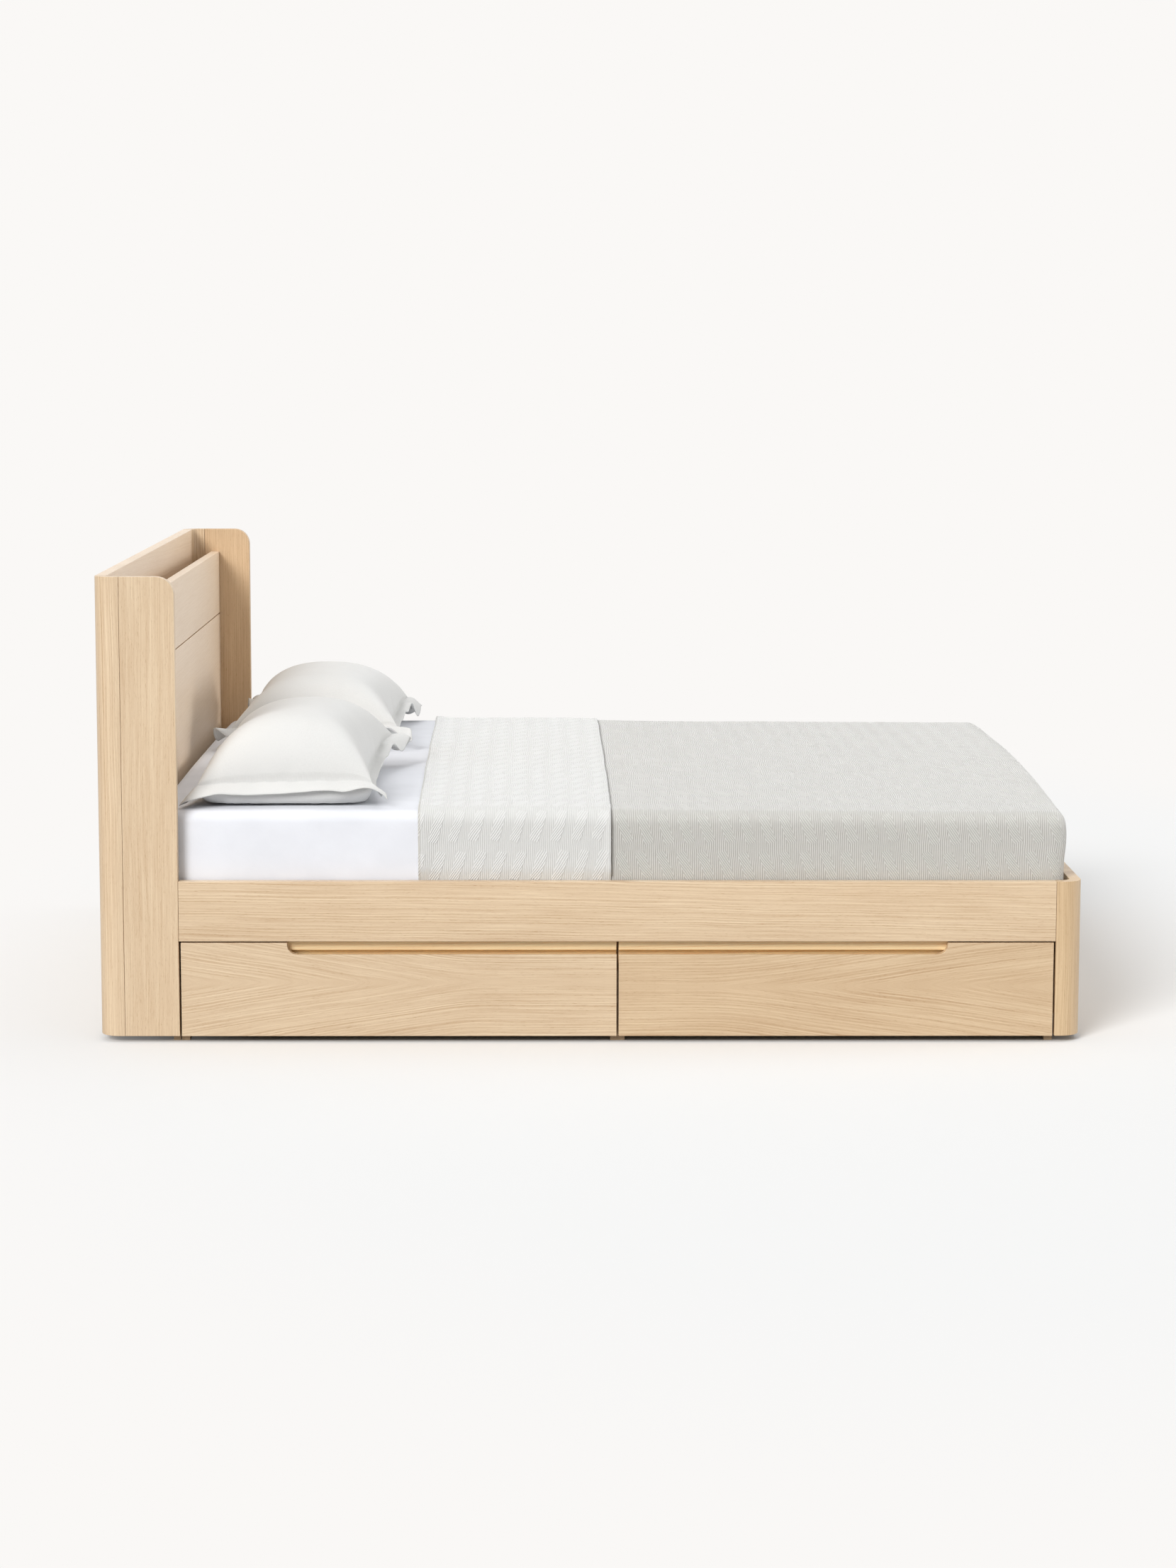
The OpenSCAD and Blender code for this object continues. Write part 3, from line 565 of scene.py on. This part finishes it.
class BED_OT_oak_boards(bpy.types.Operator):
    """Headboard, rails, footboard and posts in pale oak, each board with its own grain"""
    bl_idname = "bed.oak_boards"
    bl_label = "Oak Boards"

    # Board: grain axis, axis across the grain, middle of the arches, slope of their sides, ring pitch, figure
    GRAIN = {
        "back_panel": (Y_AXIS, Z_AXIS, 0.6, 0.03, 0.010, 0.6),
        "head_post_near": (Z_AXIS, (1, -1, 0), -0.35, 0.012, 0.008, 1.3),
        "head_post_far": (Z_AXIS, (1, 1, 0), -0.35, 0.012, 0.008, 1.3),
        "wing_near": (Z_AXIS, X_AXIS, -0.50, 0.006, 0.006, 0.35),
        "wing_far": (Z_AXIS, X_AXIS, -0.45, 0.006, 0.006, 0.5),
        "upper_fascia": (Y_AXIS, Z_AXIS, 1.3, 0.010, 0.008, 0.2),
        "lower_panel": (Y_AXIS, Z_AXIS, 0.9, 0.020, 0.009, 0.2),
        "side_rail_near": (X_AXIS, Z_AXIS, 0.10, 0.016, 0.007, 0.9),
        "side_rail_far": (X_AXIS, Z_AXIS, 0.50, 0.020, 0.007, 0.9),
        "footboard": (Y_AXIS, Z_AXIS, 0.20, 0.080, 0.008, 1.0),
        "foot_post_near": (Z_AXIS, (1, 1, 0), 0.5, 0.010, 0.007, 0.9),
        "foot_post_far": (Z_AXIS, (1, -1, 0), 0.5, 0.010, 0.007, 0.9),
    }
    # Panels drawn in the paler colours, as painted light from the foot end's fill, and with fainter streaks
    PAINTED_LIT_PANELS = ("back_panel", "upper_fascia", "lower_panel")
    # Boards cut from yellower veneer, and the far wing drawn darker and warmer as painted shade, standing in
    # for the headboard's shadow on its inner face
    VENEER_TINTS_AND_SHADE = {
        "foot_post_near": (0.95, 0.90, 0.80), "foot_post_far": (0.95, 0.90, 0.80),
        "footboard": (0.97, 0.94, 0.88), "wing_far": (0.92, 0.85, 0.77),
    }

    def execute(self, context):
        looks = context.scene.bed_boards
        for seed, (node, grain) in enumerate(self.GRAIN.items()):
            along, across, centre, slope, pitch, figure = grain
            pale = node in self.PAINTED_LIT_PANELS
            tint = self.VENEER_TINTS_AND_SHADE.get(node, (1.0, 1.0, 1.0))
            light = tinted(looks.lit_panel_light if pale else looks.oak_light, tint)
            dark = tinted(looks.lit_panel_dark if pale else looks.oak_dark, tint)
            material = wood("oak_" + node, light, dark, along, across, seed * 3.7 + 1, centre, slope,
                            pitch=pitch, figure=figure, streaks=0.35 if pale else 0.8, gloss=looks.gloss)
            eased_copy(node, looks.edge_width, material)
        return {"FINISHED"}


class BED_OT_inner_boards(bpy.types.Operator):
    """Shelf, cross board, partitions, slats and what carries them"""
    bl_idname = "bed.inner_boards"
    bl_label = "Inner Boards"

    OAK = {
        "headboard_shelf": Y_AXIS, "head_cross_board": Y_AXIS, "head_partition": Y_AXIS,
        "middle_partition": Y_AXIS, "foot_partition": Y_AXIS,
    }
    BIRCH = {
        "centre_panels": (X_AXIS, Z_AXIS), "slat_ledges": (X_AXIS, Z_AXIS),
        "slats": (Y_AXIS, X_AXIS), "foot_batten": (Y_AXIS, Z_AXIS),
    }

    def execute(self, context):
        looks = context.scene.bed_boards
        for seed, (node, along) in enumerate(self.OAK.items()):
            across = X_AXIS if node == "headboard_shelf" else Z_AXIS
            dress(node, wood("inside_" + node, looks.inside_light, looks.inside_dark, along,
                             across, seed * 5.3 + 60, 0.5, figure=0.6))
        for seed, (node, (along, across)) in enumerate(self.BIRCH.items()):
            dress(node, birch("birch_" + node, looks, along, across, seed * 4.1 + 90))
        return {"FINISHED"}


class BED_OT_drawers(bpy.types.Operator):
    """Drawer fronts in pale oak, pull strips in solid oak, and boxes in birch"""
    bl_idname = "bed.drawers"
    bl_label = "Drawers"

    # Each front: middle height of its arches, slope of their sides, where they end along the bed, its tint
    ARCHES = {
        "near_head": (0.135, 0.16, -0.28, (0.97, 0.97, 0.97)),
        "near_foot": (0.125, -0.14, 0.30, (0.92, 0.89, 0.84)),
        "far_head": (0.12, 0.14, -0.30, (0.97, 0.97, 0.97)),
        "far_foot": (0.10, -0.12, 0.35, (0.95, 0.92, 0.88)),
    }

    def execute(self, context):
        looks = context.scene.bed_boards
        solid = wood("solid_oak", looks.solid_light, looks.solid_dark, X_AXIS, Z_AXIS, 31.0,
                     0.3, 0.03, pitch=0.006, figure=1.2)
        sides = birch("birch_box_side", looks, Y_AXIS, Z_AXIS, 41.0)
        back = birch("birch_box_back", looks, X_AXIS, Z_AXIS, 43.0)
        bottom = birch("birch_box_bottom", looks, X_AXIS, Y_AXIS, 47.0)
        for seed, (drawer, (centre, slope, reach, tint)) in enumerate(self.ARCHES.items()):
            front = wood("oak_front_" + drawer, tinted(looks.oak_light, tint), tinted(looks.oak_dark, tint),
                         X_AXIS, Z_AXIS, seed * 6.1 + 20, centre, slope, tip=0.006, reach=reach,
                         pitch=0.0065, figure=0.8, gloss=looks.gloss)
            eased_copy("drawer_front_" + drawer, looks.edge_width, front)
            eased_copy("drawer_pull_strip_" + drawer, looks.strip_edge, solid)
            dress("drawer_outer_side_" + drawer, sides)
            dress("drawer_inner_side_" + drawer, sides)
            dress("drawer_back_" + drawer, back)
            dress("drawer_bottom_" + drawer, bottom)
        return {"FINISHED"}


class BED_OT_hardware(bpy.types.Operator):
    """Slides, bolts and brackets in zinc-plated steel"""
    bl_idname = "bed.hardware"
    bl_label = "Hardware"

    def execute(self, context):
        steel = zinc("zinc_steel", context.scene.bed_boards.steel)
        nodes = ["corner_brackets", "bed_bolts", "cabinet_slides"]
        nodes += [f"drawer_{piece}_{drawer}" for piece in ("slide", "middle_slide") for drawer in DRAWERS]
        for node in nodes:
            dress(node, steel)
        return {"FINISHED"}


class BED_OT_mattress(bpy.types.Operator):
    """The mattress in its fitted sheet"""
    bl_idname = "bed.mattress"
    bl_label = "Mattress"

    def execute(self, context):
        under_steps, long_steps, face_steps, turn_steps = 24, 170, 26, 10
        chamfer = 0.001
        y, z, ny, nz, _ = over_mattress(SLAT_TOP + chamfer, turn_steps, 14, 46)
        y = chain(y, np.linspace(HALF_WIDTH - chamfer, -HALF_WIDTH + chamfer, under_steps))
        z = chain(z, np.full(under_steps, SLAT_TOP))
        ny = chain(ny, np.zeros(under_steps))
        nz = chain(nz, np.zeros(under_steps))
        r = EDGE_RADIUS
        turn = np.linspace(0, math.pi / 2, turn_steps)
        length_x = END_X - MATTRESS_LOW[0]
        ends = r * (1 - np.cos(turn))
        x = chain(ends, np.linspace(r, length_x - r, long_steps)[1:-1], length_x - ends[::-1])
        rounding = r * (1 - np.sin(turn))
        inset = chain(rounding, np.zeros(long_steps - 2), rounding[::-1])
        pull_y = (HALF_WIDTH - inset)[:, None] / HALF_WIDTH
        lift = np.where(z > TOP - r, 1.0, np.clip((z - SLAT_TOP) / (TOP - r - SLAT_TOP), 0, 1))
        xs = np.broadcast_to((MATTRESS_LOW[0] + x)[:, None], (len(x), len(y)))
        ys = y[None, :] * pull_y
        zs = z[None, :] - inset[:, None] * lift[None, :]
        soft = ripple(xs, ys + zs, 5, 0.5) * 0.0012 + ripple(xs, ys - zs, 9, 0.16) * 0.0004
        ground = smooth_step(zs, SLAT_TOP, RAIL_TOP) * (1 - inset[:, None] / r)
        ys, zs = ys + ny * soft * ground, zs + nz * soft * ground
        # The foot end's face: its outline drawn in towards the middle, ring by ring
        share = np.linspace(1, 0.02, face_steps)[1:, None]
        middle_z = (SLAT_TOP + TOP) / 2
        xs = chain(xs, np.full((len(share), len(y)), END_X))
        ys = chain(ys, ys[-1] * share)
        zs = chain(zs, middle_z + (zs[-1] - middle_z) * share)
        shift_x, shift_z = settle(xs, ys, zs, 0.010, 0.018)
        points = np.stack([xs + shift_x, ys, zs + shift_z], axis=-1)
        rows, count = xs.shape
        faces = grid_faces(rows, count, closed=True).tolist()
        faces.append(list(range(count - 1, -1, -1)))
        faces.append([(rows - 1) * count + j for j in range(count)])
        made = make("mattress_in_sheet", points, [face[::-1] for face in faces])
        made.data.materials.append(percale("white_sheet", context.scene.bed_looks.sheet))
        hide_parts("mattress")
        return {"FINISHED"}


class BED_OT_pillows(bpy.types.Operator):
    """Two pillows in linen covers with a flange all round"""
    bl_idname = "bed.pillows"
    bl_label = "Pillows"

    # Corners: sign along the bed, sign across it, rise of the corner, how far its flange curls up, the size
    # of its waves, and how far it reaches out along the bed
    CORNERS = {
        "near": ((-1, -1, 0.000, -0.008, 0.002, 0.010), (1, -1, 0.010, 0.004, 0.006, 0.000),
                 (-1, 1, 0.020, 0.000, 0.014, 0.000), (1, 1, 0.062, -0.030, 0.018, 0.020)),
        "far": ((-1, -1, 0.026, 0.000, 0.016, 0.034), (1, -1, 0.034, -0.010, 0.016, 0.012),
                (-1, 1, 0.044, -0.012, 0.014, 0.010), (1, 1, 0.044, -0.042, 0.018, 0.006)),
    }
    # Height of the seam at the near end over that of the other seams, and how far its flange hangs down
    NEAR_END = {"near": (0.024, 0.015), "far": (0.010, 0.006)}
    RISE = {"near": 0.166, "far": 0.152}
    # Powers of the section along the bed and across it: higher is squarer
    SQUARE_A, SQUARE_B = 2.5, 5.0
    # How far the crown lies towards the head, as a share of the half width
    SKEW = {"near": -0.06, "far": 0.0}
    # How far the middle of the head and foot sides is drawn in, and that of the two ends
    DRAW = {"near": (0.030, 0.050), "far": (0.012, 0.046)}
    END_DRAW = 0.026
    # How far a corner's rise and its curl spread along the edges, and the length of the flange's waves
    RISE_SPREAD, CURL_SPREAD, WAVE_LENGTH = 0.19, 0.085, 0.10
    # Height of the seam over the sheet, and how far the flange droops from it
    SEAM_HEIGHT, DROOP = 0.028, 0.005
    # Half the flange's thickness, and the depth of the cover's belly under the seam
    HALF_FLANGE, BELLY = 0.0014, 0.125
    # How far the filling swells over the seam, and the power that rounds a flange's corner
    BULGE, CORNER_POWER = 0.024, 2.4
    # Cloth simulation's pressure
    PRESSURE = 4

    def execute(self, context):
        sizes = context.scene.bed_sizes
        looks = context.scene.bed_looks
        low, high = box("pillow_near")
        half_w, half_l = (high[0] - low[0]) / 2, (high[1] - low[1]) / 2
        seams = (half_w - sizes.flange, half_l - sizes.flange)
        material = linen("pillow_linen", looks.linen, sizes.stitch, seams)
        for side in NEAR_FAR:
            made, held = self.pillow(side, half_w, half_l, sizes)
            self.swell(context, made, held, sizes)
            made.data.materials.append(material)
            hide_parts("pillow_" + side)
        return {"FINISHED"}

    def pillow(self, side, half_w, half_l, sizes):
        """One pillow: its upper face is lift + rise * square root of ((1 - |a|^2.5)(1 - |b|^5)), where a and
        b run from -1 to 1 between the seams, its sides are drawn in between the corners, and its flange
        waves. The lower face is the seam less belly * ((1 - a^2)(1 - b^4))^0.45, and ends where it rests."""
        low, high = box("pillow_" + side)
        middle = (low + high) / 2
        seam_a, seam_b = 1 - sizes.flange / half_w, 1 - sizes.flange / half_l
        a, b = self.steps(seam_a, 56), self.steps(seam_b, 88)
        aa, bb = np.meshgrid(a, b, indexing="ij")
        inside_a, inside_b = np.clip(aa / seam_a, -1, 1), np.clip(np.abs(bb) / seam_b, 0, 1)
        inside_a = np.clip(np.abs(inside_a + self.SKEW[side] * (1 - inside_a ** 2)), 0, 1)
        full = np.sqrt((1 - inside_a ** self.SQUARE_A) * (1 - inside_b ** self.SQUARE_B))
        seed = 21 if side == "near" else 33
        out_a = np.clip((np.abs(aa) - seam_a) / (1 - seam_a), 0, 1)
        out_b = np.clip((np.abs(bb) - seam_b) / (1 - seam_b), 0, 1)
        flange = np.maximum(out_a, out_b)
        from_a, from_b = (1 - np.abs(aa)) * half_w, (1 - np.abs(bb)) * half_l
        lift, curl, wave, out_x = np.zeros((4, *aa.shape))
        for turn, (sign_a, sign_b, rise, curled, wavy, reach) in enumerate(self.CORNERS[side]):
            away = (1 - sign_a * aa) * half_w + (1 - sign_b * bb) * half_l
            lift += rise * np.exp(-(away / self.RISE_SPREAD) ** 2)
            near = np.exp(-(away / self.CURL_SPREAD) ** 2)
            curl += curled * near
            out_x += sign_a * reach * near
            phase = (from_a - from_b) * (TURN / self.WAVE_LENGTH) + turn * 2.1 + seed
            wave += wavy * near ** 0.4 * np.sin(phase)
        raised, hang = self.NEAR_END[side]
        near_end = smooth_step(-bb, 0.3, 0.95)
        lift += raised * near_end * (1 - np.clip(np.abs(aa), 0, 1) ** 8)
        hang = hang * near_end * (1 - 0.3 * np.abs(aa) ** 3) + self.DROOP
        x = aa * (half_w - np.where(aa < 0, *self.DRAW[side]) * (1 - bb * bb) ** 0.7)
        y = bb * (half_l - self.END_DRAW * (1 - aa * aa))
        loose = ripple(x, y, seed, 0.16) * 0.005 + ripple(x, y, seed + 1, 0.06) * 0.0012
        wave = flange ** 1.3 * (wave + curl + loose)
        pleat = ripple(x, y, seed + 2, 0.045) * 0.003 * (1 - full) ** 1.5 * (1 - flange)
        seam = TOP + self.SEAM_HEIGHT + lift + wave + pleat - hang * flange ** 1.2
        power = self.CORNER_POWER
        rounded = flange / (out_a ** power + out_b ** power + 1e-9) ** (1 / power)
        blunt = np.where(np.minimum(out_a, out_b) > 0, rounded, 1.0)
        x = x - np.sign(aa) * out_a * (1 - blunt) * sizes.flange + out_x
        y = y - np.sign(bb) * out_b * (1 - blunt) * sizes.flange
        puff = ripple(x, y, seed + 3, 0.3) * 0.004 * full
        belly = ((1 - inside_a ** 2) * (1 - inside_b ** 4)) ** 0.45
        lower = np.maximum(seam - self.HALF_FLANGE - self.BELLY * belly, REST)
        upper = seam + self.HALF_FLANGE + self.RISE[side] * full + puff
        upper = np.maximum(upper, REST + 2 * self.HALF_FLANGE)
        xs, ys = middle[0] + x, middle[1] + y
        bulge = self.BULGE * np.sin(np.clip(full * 2.2, 0, 1) * math.pi) * (1 - flange)
        under_x, under_y = xs + bulge * aa ** 5, ys + bulge * bb ** 5
        points = np.stack([[xs, under_x], [ys, under_y], [upper, lower]], axis=-1).reshape(-1, 3)
        rows, columns = aa.shape
        total = rows * columns
        top = grid_faces(rows, columns)
        under = top[:, ::-1] + total
        rim = chain(
            np.arange(columns), np.arange(1, rows) * columns + columns - 1,
            (rows - 1) * columns + np.arange(columns - 2, -1, -1), np.arange(rows - 2, 0, -1) * columns)
        after = np.roll(rim, -1)
        edge = np.stack([rim, rim + total, after + total, after], axis=-1)
        faces = chain(top[:, ::-1], under[:, ::-1], edge[:, ::-1])
        uv = np.stack([aa * half_w, bb * half_l], axis=-1).reshape(-1, 2)
        made = make("pillow_cover_" + side, points, faces, chain(uv, uv))
        held = chain((flange > 0).ravel(), ((flange > 0) | (lower < REST + 0.0005)).ravel())
        return made, held

    def swell(self, context, made, held, sizes):
        """Lets the filling press the cover outwards as cloth, held at its flange and where it rests, and
        keeps every point within reach of its place and over the mattress."""
        count = len(made.data.vertices)
        before = np.empty(count * 3)
        made.data.vertices.foreach_get("co", before)
        before = before.reshape(-1, 3)
        group = made.vertex_groups.new(name="held")
        group.add(np.flatnonzero(held).tolist(), 1.0, "REPLACE")
        cloth = made.modifiers.new("swell", "CLOTH")
        cloth.settings.use_pressure = True
        cloth.settings.uniform_pressure_force = self.PRESSURE
        cloth.settings.effector_weights.gravity = 0
        cloth.settings.vertex_group_mass = group.name
        cloth.point_cache.frame_start = 1
        cloth.point_cache.frame_end = sizes.sim_frames
        for number in range(1, sizes.sim_frames + 1):
            context.scene.frame_set(number)
        swollen = made.evaluated_get(context.evaluated_depsgraph_get()).data
        after = np.empty(count * 3)
        swollen.vertices.foreach_get("co", after)
        made.modifiers.remove(cloth)
        made.vertex_groups.remove(group)
        context.scene.frame_set(1)
        moved = after.reshape(-1, 3) - before
        far = np.linalg.norm(moved, axis=1, keepdims=True) + 1e-9
        placed = before + moved / far * sizes.reach * np.tanh(far / sizes.reach)
        placed[:, 2] = np.maximum(placed[:, 2], np.minimum(before[:, 2], REST))
        made.data.vertices.foreach_set("co", placed.ravel())
        made.data.update()

    @staticmethod
    def steps(seam, count):
        """Places from -1 to 1, close together at the seams, with a few on the flange."""
        inner = np.sin(np.linspace(-1, 1, count) * math.pi / 2) * seam
        flange = np.linspace(seam, 1, 9)[1:]
        return chain(-flange[::-1], inner, flange)


class BED_OT_coverlet(bpy.types.Operator):
    """The ribbed coverlet, folded back at its upper end and tucked in"""
    bl_idname = "bed.coverlet"
    bl_label = "Coverlet"

    # Width of the band that is folded back, and air between the cloth and what it lies on
    FOLD_WIDTH, EASE = 0.418, 0.0010

    def execute(self, context):
        sizes = context.scene.bed_sizes
        looks = context.scene.bed_looks
        cloth, fold_w = sizes.cloth, self.FOLD_WIDTH
        fold_x = box("coverlet")[0][0]
        low = SLAT_TOP + TUCK
        y, z, ny, nz, t = over_mattress(low, 8, 14, 70)
        under = 0.0004 + cloth / 2
        over = under + cloth + 0.0002
        lift = sizes.fold_lift
        roll = (over + lift - under) / 2
        # Along the cloth: the folded band, the roll, the flat part, the rounded end and the end's face
        band = fold_w - chain(np.linspace(0, 0.03, 10)[:-1], np.linspace(0.03, fold_w, 60))
        turn = np.linspace(0, math.pi, 9)[1:-1]
        end_x = END_X - EDGE_RADIUS
        flat = np.linspace(fold_x + roll, end_x, 150)
        bend = np.linspace(0, math.pi / 2, 8)[1:]
        wall = np.linspace(0, TOP - EDGE_RADIUS - low - 0.001, 14)[1:]
        r = EDGE_RADIUS + under
        beyond = len(flat) + len(bend) + len(wall)
        x = chain(
            fold_x + roll + band, fold_x + roll - roll * np.sin(turn), flat,
            end_x + r * np.sin(bend), np.full(len(wall), end_x + r))
        grow = chain(
            over + lift * np.exp(-(band / 0.03) ** 2), under + roll + roll * np.cos(turn),
            np.full(beyond, under))
        loft = chain(
            1 + np.exp(-((fold_w - band) / 0.010) ** 2), (1 + np.cos(turn)) / 2,
            np.zeros(beyond))
        inset = chain(
            np.zeros(len(band) + len(turn) + len(flat)), r * (1 - np.cos(bend)), r + wall)
        steps = np.hypot(np.diff(x), np.diff(grow)) + np.diff(inset) * (np.diff(x) == 0)
        s = chain([0], np.cumsum(steps))
        raised = smooth_step(z, RAIL_TOP + 0.001, RAIL_TOP + 0.020)
        g = np.where(grow[:, None] > over, over + (grow[:, None] - over) * raised[None, :], grow[:, None])
        g = g + sizes.puff * loft[:, None] * (raised * (0.3 + 0.7 * np.abs(ny)))[None, :]
        shrink_y = 1 - inset[:, None] / HALF_WIDTH
        shrink_z = np.clip((z[None, :] - low) / (TOP - low), 0, 1)
        skew = (y + HALF_WIDTH) / (2 * HALF_WIDTH)
        sway = ripple(y, z, 14, 0.5) * 0.0025
        pulled = np.interp(s, [0, fold_w, fold_w + 0.5], [-0.011, -0.023, 0.0])
        loose = np.interp(s, [0, fold_w, fold_w + 0.3], [0.8, 1.0, 0.0])
        xs = x[:, None] + pulled[:, None] * skew[None, :] + loose[:, None] * sway[None, :]
        soft = ripple(xs, y[None, :] + z[None, :], 17, 0.35) * 0.0010 * raised[None, :] + self.EASE
        ys = (y[None, :] + ny[None, :] * (g + soft * raised)) * shrink_y
        zs = z[None, :] + nz[None, :] * (g + soft) - inset[:, None] * shrink_z
        shift_x, shift_z = settle(xs, ys, zs, 0.012, 0.0195)
        points = np.stack([xs + shift_x, ys, zs + shift_z], axis=-1)
        rows, columns = xs.shape
        faces = grid_faces(rows, columns)
        uv = np.stack([np.broadcast_to(s[:, None], xs.shape), np.broadcast_to(t[None, :], xs.shape)], axis=-1)
        made = make("coverlet_cloth", points, faces, uv)
        ribbed = jacquard("coverlet_jacquard", looks, sizes.rib_pitch, fold_w, RAIL_TOP - low)
        made.data.materials.append(ribbed)
        thick = made.modifiers.new("cloth", "SOLIDIFY")
        thick.thickness = cloth
        thick.offset = 0
        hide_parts("coverlet")
        flat = float(t[-1]), float(s[-1])
        return {"FINISHED"}


class BED_OT_studio(bpy.types.Operator):
    """Floor, soft light and the camera at the photo's angle"""
    bl_idname = "bed.studio"
    bl_label = "Studio"

    # Light: the way towards it, and how wide it looks in degrees
    SUNS = (
        ("key", (-0.42, -0.76, 0.50), 24), ("fill", (0.97, 0.22, 0.12), 30), ("top", (0.1, -0.1, 1.0), 80))
    # Gain of the sky towards +X, +Y and +Z
    SKY = (0.0, 0.05, 0.40)
    CAMERA_PLACE = (-0.07208, -8.34092, 1.54906)
    CAMERA_PITCH, CAMERA_YAW, CAMERA_ROLL = 0.1308, -0.0088, 0.0014
    # Floor: its half width, its colour for bounced light as a share of the background, and its cast
    FLOOR_REACH, FLOOR_SHARE, FLOOR_CAST = 60.0, 0.55, (0.965, 0.985, 1.0)
    # The middle of its lit part along the bed, how much nearer depth counts, and where it starts and ends
    # to pass into the background
    FADE_MIDDLE, FADE_DEPTH, FADE_FROM, FADE_TO = 0.75, 0.35, 1.55, 2.7

    def execute(self, context):
        studio = context.scene.bed_studio
        self.camera(context, studio)
        self.floor(studio)
        self.lights(studio)
        context.scene.view_settings.view_transform = "Standard"
        return {"FINISHED"}

    def camera(self, context, studio):
        """The camera's axes, from its yaw about Z, its pitch below the horizon and its roll."""
        yaw, pitch, roll = self.CAMERA_YAW, self.CAMERA_PITCH, self.CAMERA_ROLL
        right = Vector((math.cos(yaw), math.sin(yaw), 0))
        ahead = Vector((-math.sin(yaw) * math.cos(pitch), math.cos(yaw) * math.cos(pitch), -math.sin(pitch)))
        up = right.cross(ahead)
        across = math.cos(roll) * right + math.sin(roll) * up
        upright = math.cos(roll) * up - math.sin(roll) * right
        lens = bpy.data.cameras.new("camera")
        lens.lens = studio.focal_length
        lens.sensor_width = 36
        lens.clip_end = 200
        camera = add("camera", lens)
        turned = Matrix((across, upright, -ahead)).transposed().to_4x4()
        camera.matrix_world = Matrix.Translation(self.CAMERA_PLACE) @ turned
        context.scene.camera = camera

    def floor(self, studio):
        """A pale floor that runs into the background some metres away from the bed."""
        reach = self.FLOOR_REACH
        corners = [(-reach, -reach, 0), (reach, -reach, 0), (reach, reach, 0), (-reach, reach, 0)]
        mesh = bpy.data.meshes.new("floor")
        mesh.from_pydata(corners, [], [(0, 1, 2, 3)])
        floor = add("floor", mesh)
        paint = Paint("pale_floor", roughness=0.9)
        tint = studio.background
        light = paint.node("ShaderNodeLightPath", {}, {})
        seen = Value(paint, light.outputs["Is Camera Ray"])
        x, y, _ = paint.place()
        grain = paint.noise(x * 3, y * 3, 0.0, detail=3.0)
        plain = tuple(part * self.FLOOR_SHARE for part in tint)
        level = studio.ambient + self.SKY[2] * 2 / 3 + sum(
            getattr(studio, name) * toward[2] / math.hypot(*toward) for name, toward, _ in self.SUNS)
        shown = tuple(part * cast / level for part, cast in zip(tint, self.FLOOR_CAST))
        paint.base(paint.mix(seen * (0.99 + grain * 0.01), plain, shown))
        paint.shader.inputs["Specular IOR Level"].default_value = 0.0
        glow = paint.node("ShaderNodeEmission", {}, {"Color": tint, "Strength": 1.0})
        right = x - self.FADE_MIDDLE
        distance = paint.math("SQRT", right * right + y * y * self.FADE_DEPTH)
        away = paint.step(distance, self.FADE_FROM, self.FADE_TO) * seen
        shaders = {0: away, 1: paint.shader.outputs[0], 2: glow.outputs[0]}
        both = paint.node("ShaderNodeMixShader", {}, shaders)
        output = paint.tree.nodes["Material Output"]
        paint.tree.links.new(both.outputs[0], output.inputs["Surface"])
        mesh.materials.append(paint.material)

    def lights(self, studio):
        """Three broad suns and a sky that is brighter above; camera, glossy and transmission rays see the
        background."""
        for name, toward, angle in self.SUNS:
            lamp = bpy.data.lights.new(name, "SUN")
            lamp.energy = getattr(studio, name) * math.pi
            lamp.angle = math.radians(angle)
            sun = add(name, lamp)
            sun.rotation_euler = Vector(toward).to_track_quat("Z", "Y").to_euler()
        world = bpy.data.worlds.new("studio")
        world.use_nodes = True
        bpy.context.scene.world = world
        paint = Paint("studio", tree=world.node_tree)
        light = paint.node("ShaderNodeLightPath", {}, {})
        seen = Value(paint, light.outputs["Is Camera Ray"])
        seen = paint.math("MAXIMUM", seen, Value(paint, light.outputs["Is Glossy Ray"]))
        seen = paint.math("MAXIMUM", seen, Value(paint, light.outputs["Is Transmission Ray"]))
        towards = paint.split(paint.node("ShaderNodeTexCoord", {}, {}).outputs["Generated"])
        strength = dot(towards, self.SKY) + studio.ambient
        sky = world.node_tree.nodes["Background"]
        paint.feed(sky.inputs["Color"], paint.mix(seen, (1.0, 1.0, 1.0), studio.background))
        paint.feed(sky.inputs["Strength"], strength * (1 - seen) + seen)


class BED_PT_panel(bpy.types.Panel):
    """Sizes, colours and the steps that dress the bed"""
    bl_idname = "BED_PT_panel"
    bl_label = "Storage Bed"
    bl_space_type = "VIEW_3D"
    bl_region_type = "UI"
    bl_category = "Storage Bed"

    def draw(self, context):
        layout = self.layout
        for step in STEPS:
            layout.operator(step.bl_idname)
        for title, group in GROUPS.items():
            column = layout.column()
            column.label(text=title.replace("bed_", "").capitalize())
            for key in group.__annotations__:
                column.prop(getattr(context.scene, title), key)


STEPS = (
    BED_OT_oak_boards, BED_OT_inner_boards, BED_OT_drawers, BED_OT_hardware,
    BED_OT_mattress, BED_OT_pillows, BED_OT_coverlet, BED_OT_studio,
)
GROUPS = {
    "bed_boards": BoardLooks, "bed_looks": BeddingLooks, "bed_sizes": BeddingSizes,
    "bed_studio": StudioSettings,
}


def register():
    for kind in (*GROUPS.values(), *STEPS, BED_PT_panel):
        bpy.utils.register_class(kind)
    for name, group in GROUPS.items():
        setattr(bpy.types.Scene, name, PointerProperty(type=group))


def unregister():
    for name in GROUPS:
        delattr(bpy.types.Scene, name)
    for kind in (BED_PT_panel, *STEPS, *GROUPS.values()):
        bpy.utils.unregister_class(kind)


def main():
    register()
    for step in STEPS:
        family, action = step.bl_idname.split(".")
        getattr(getattr(bpy.ops, family), action)()


if __name__ == "__main__":
    main()
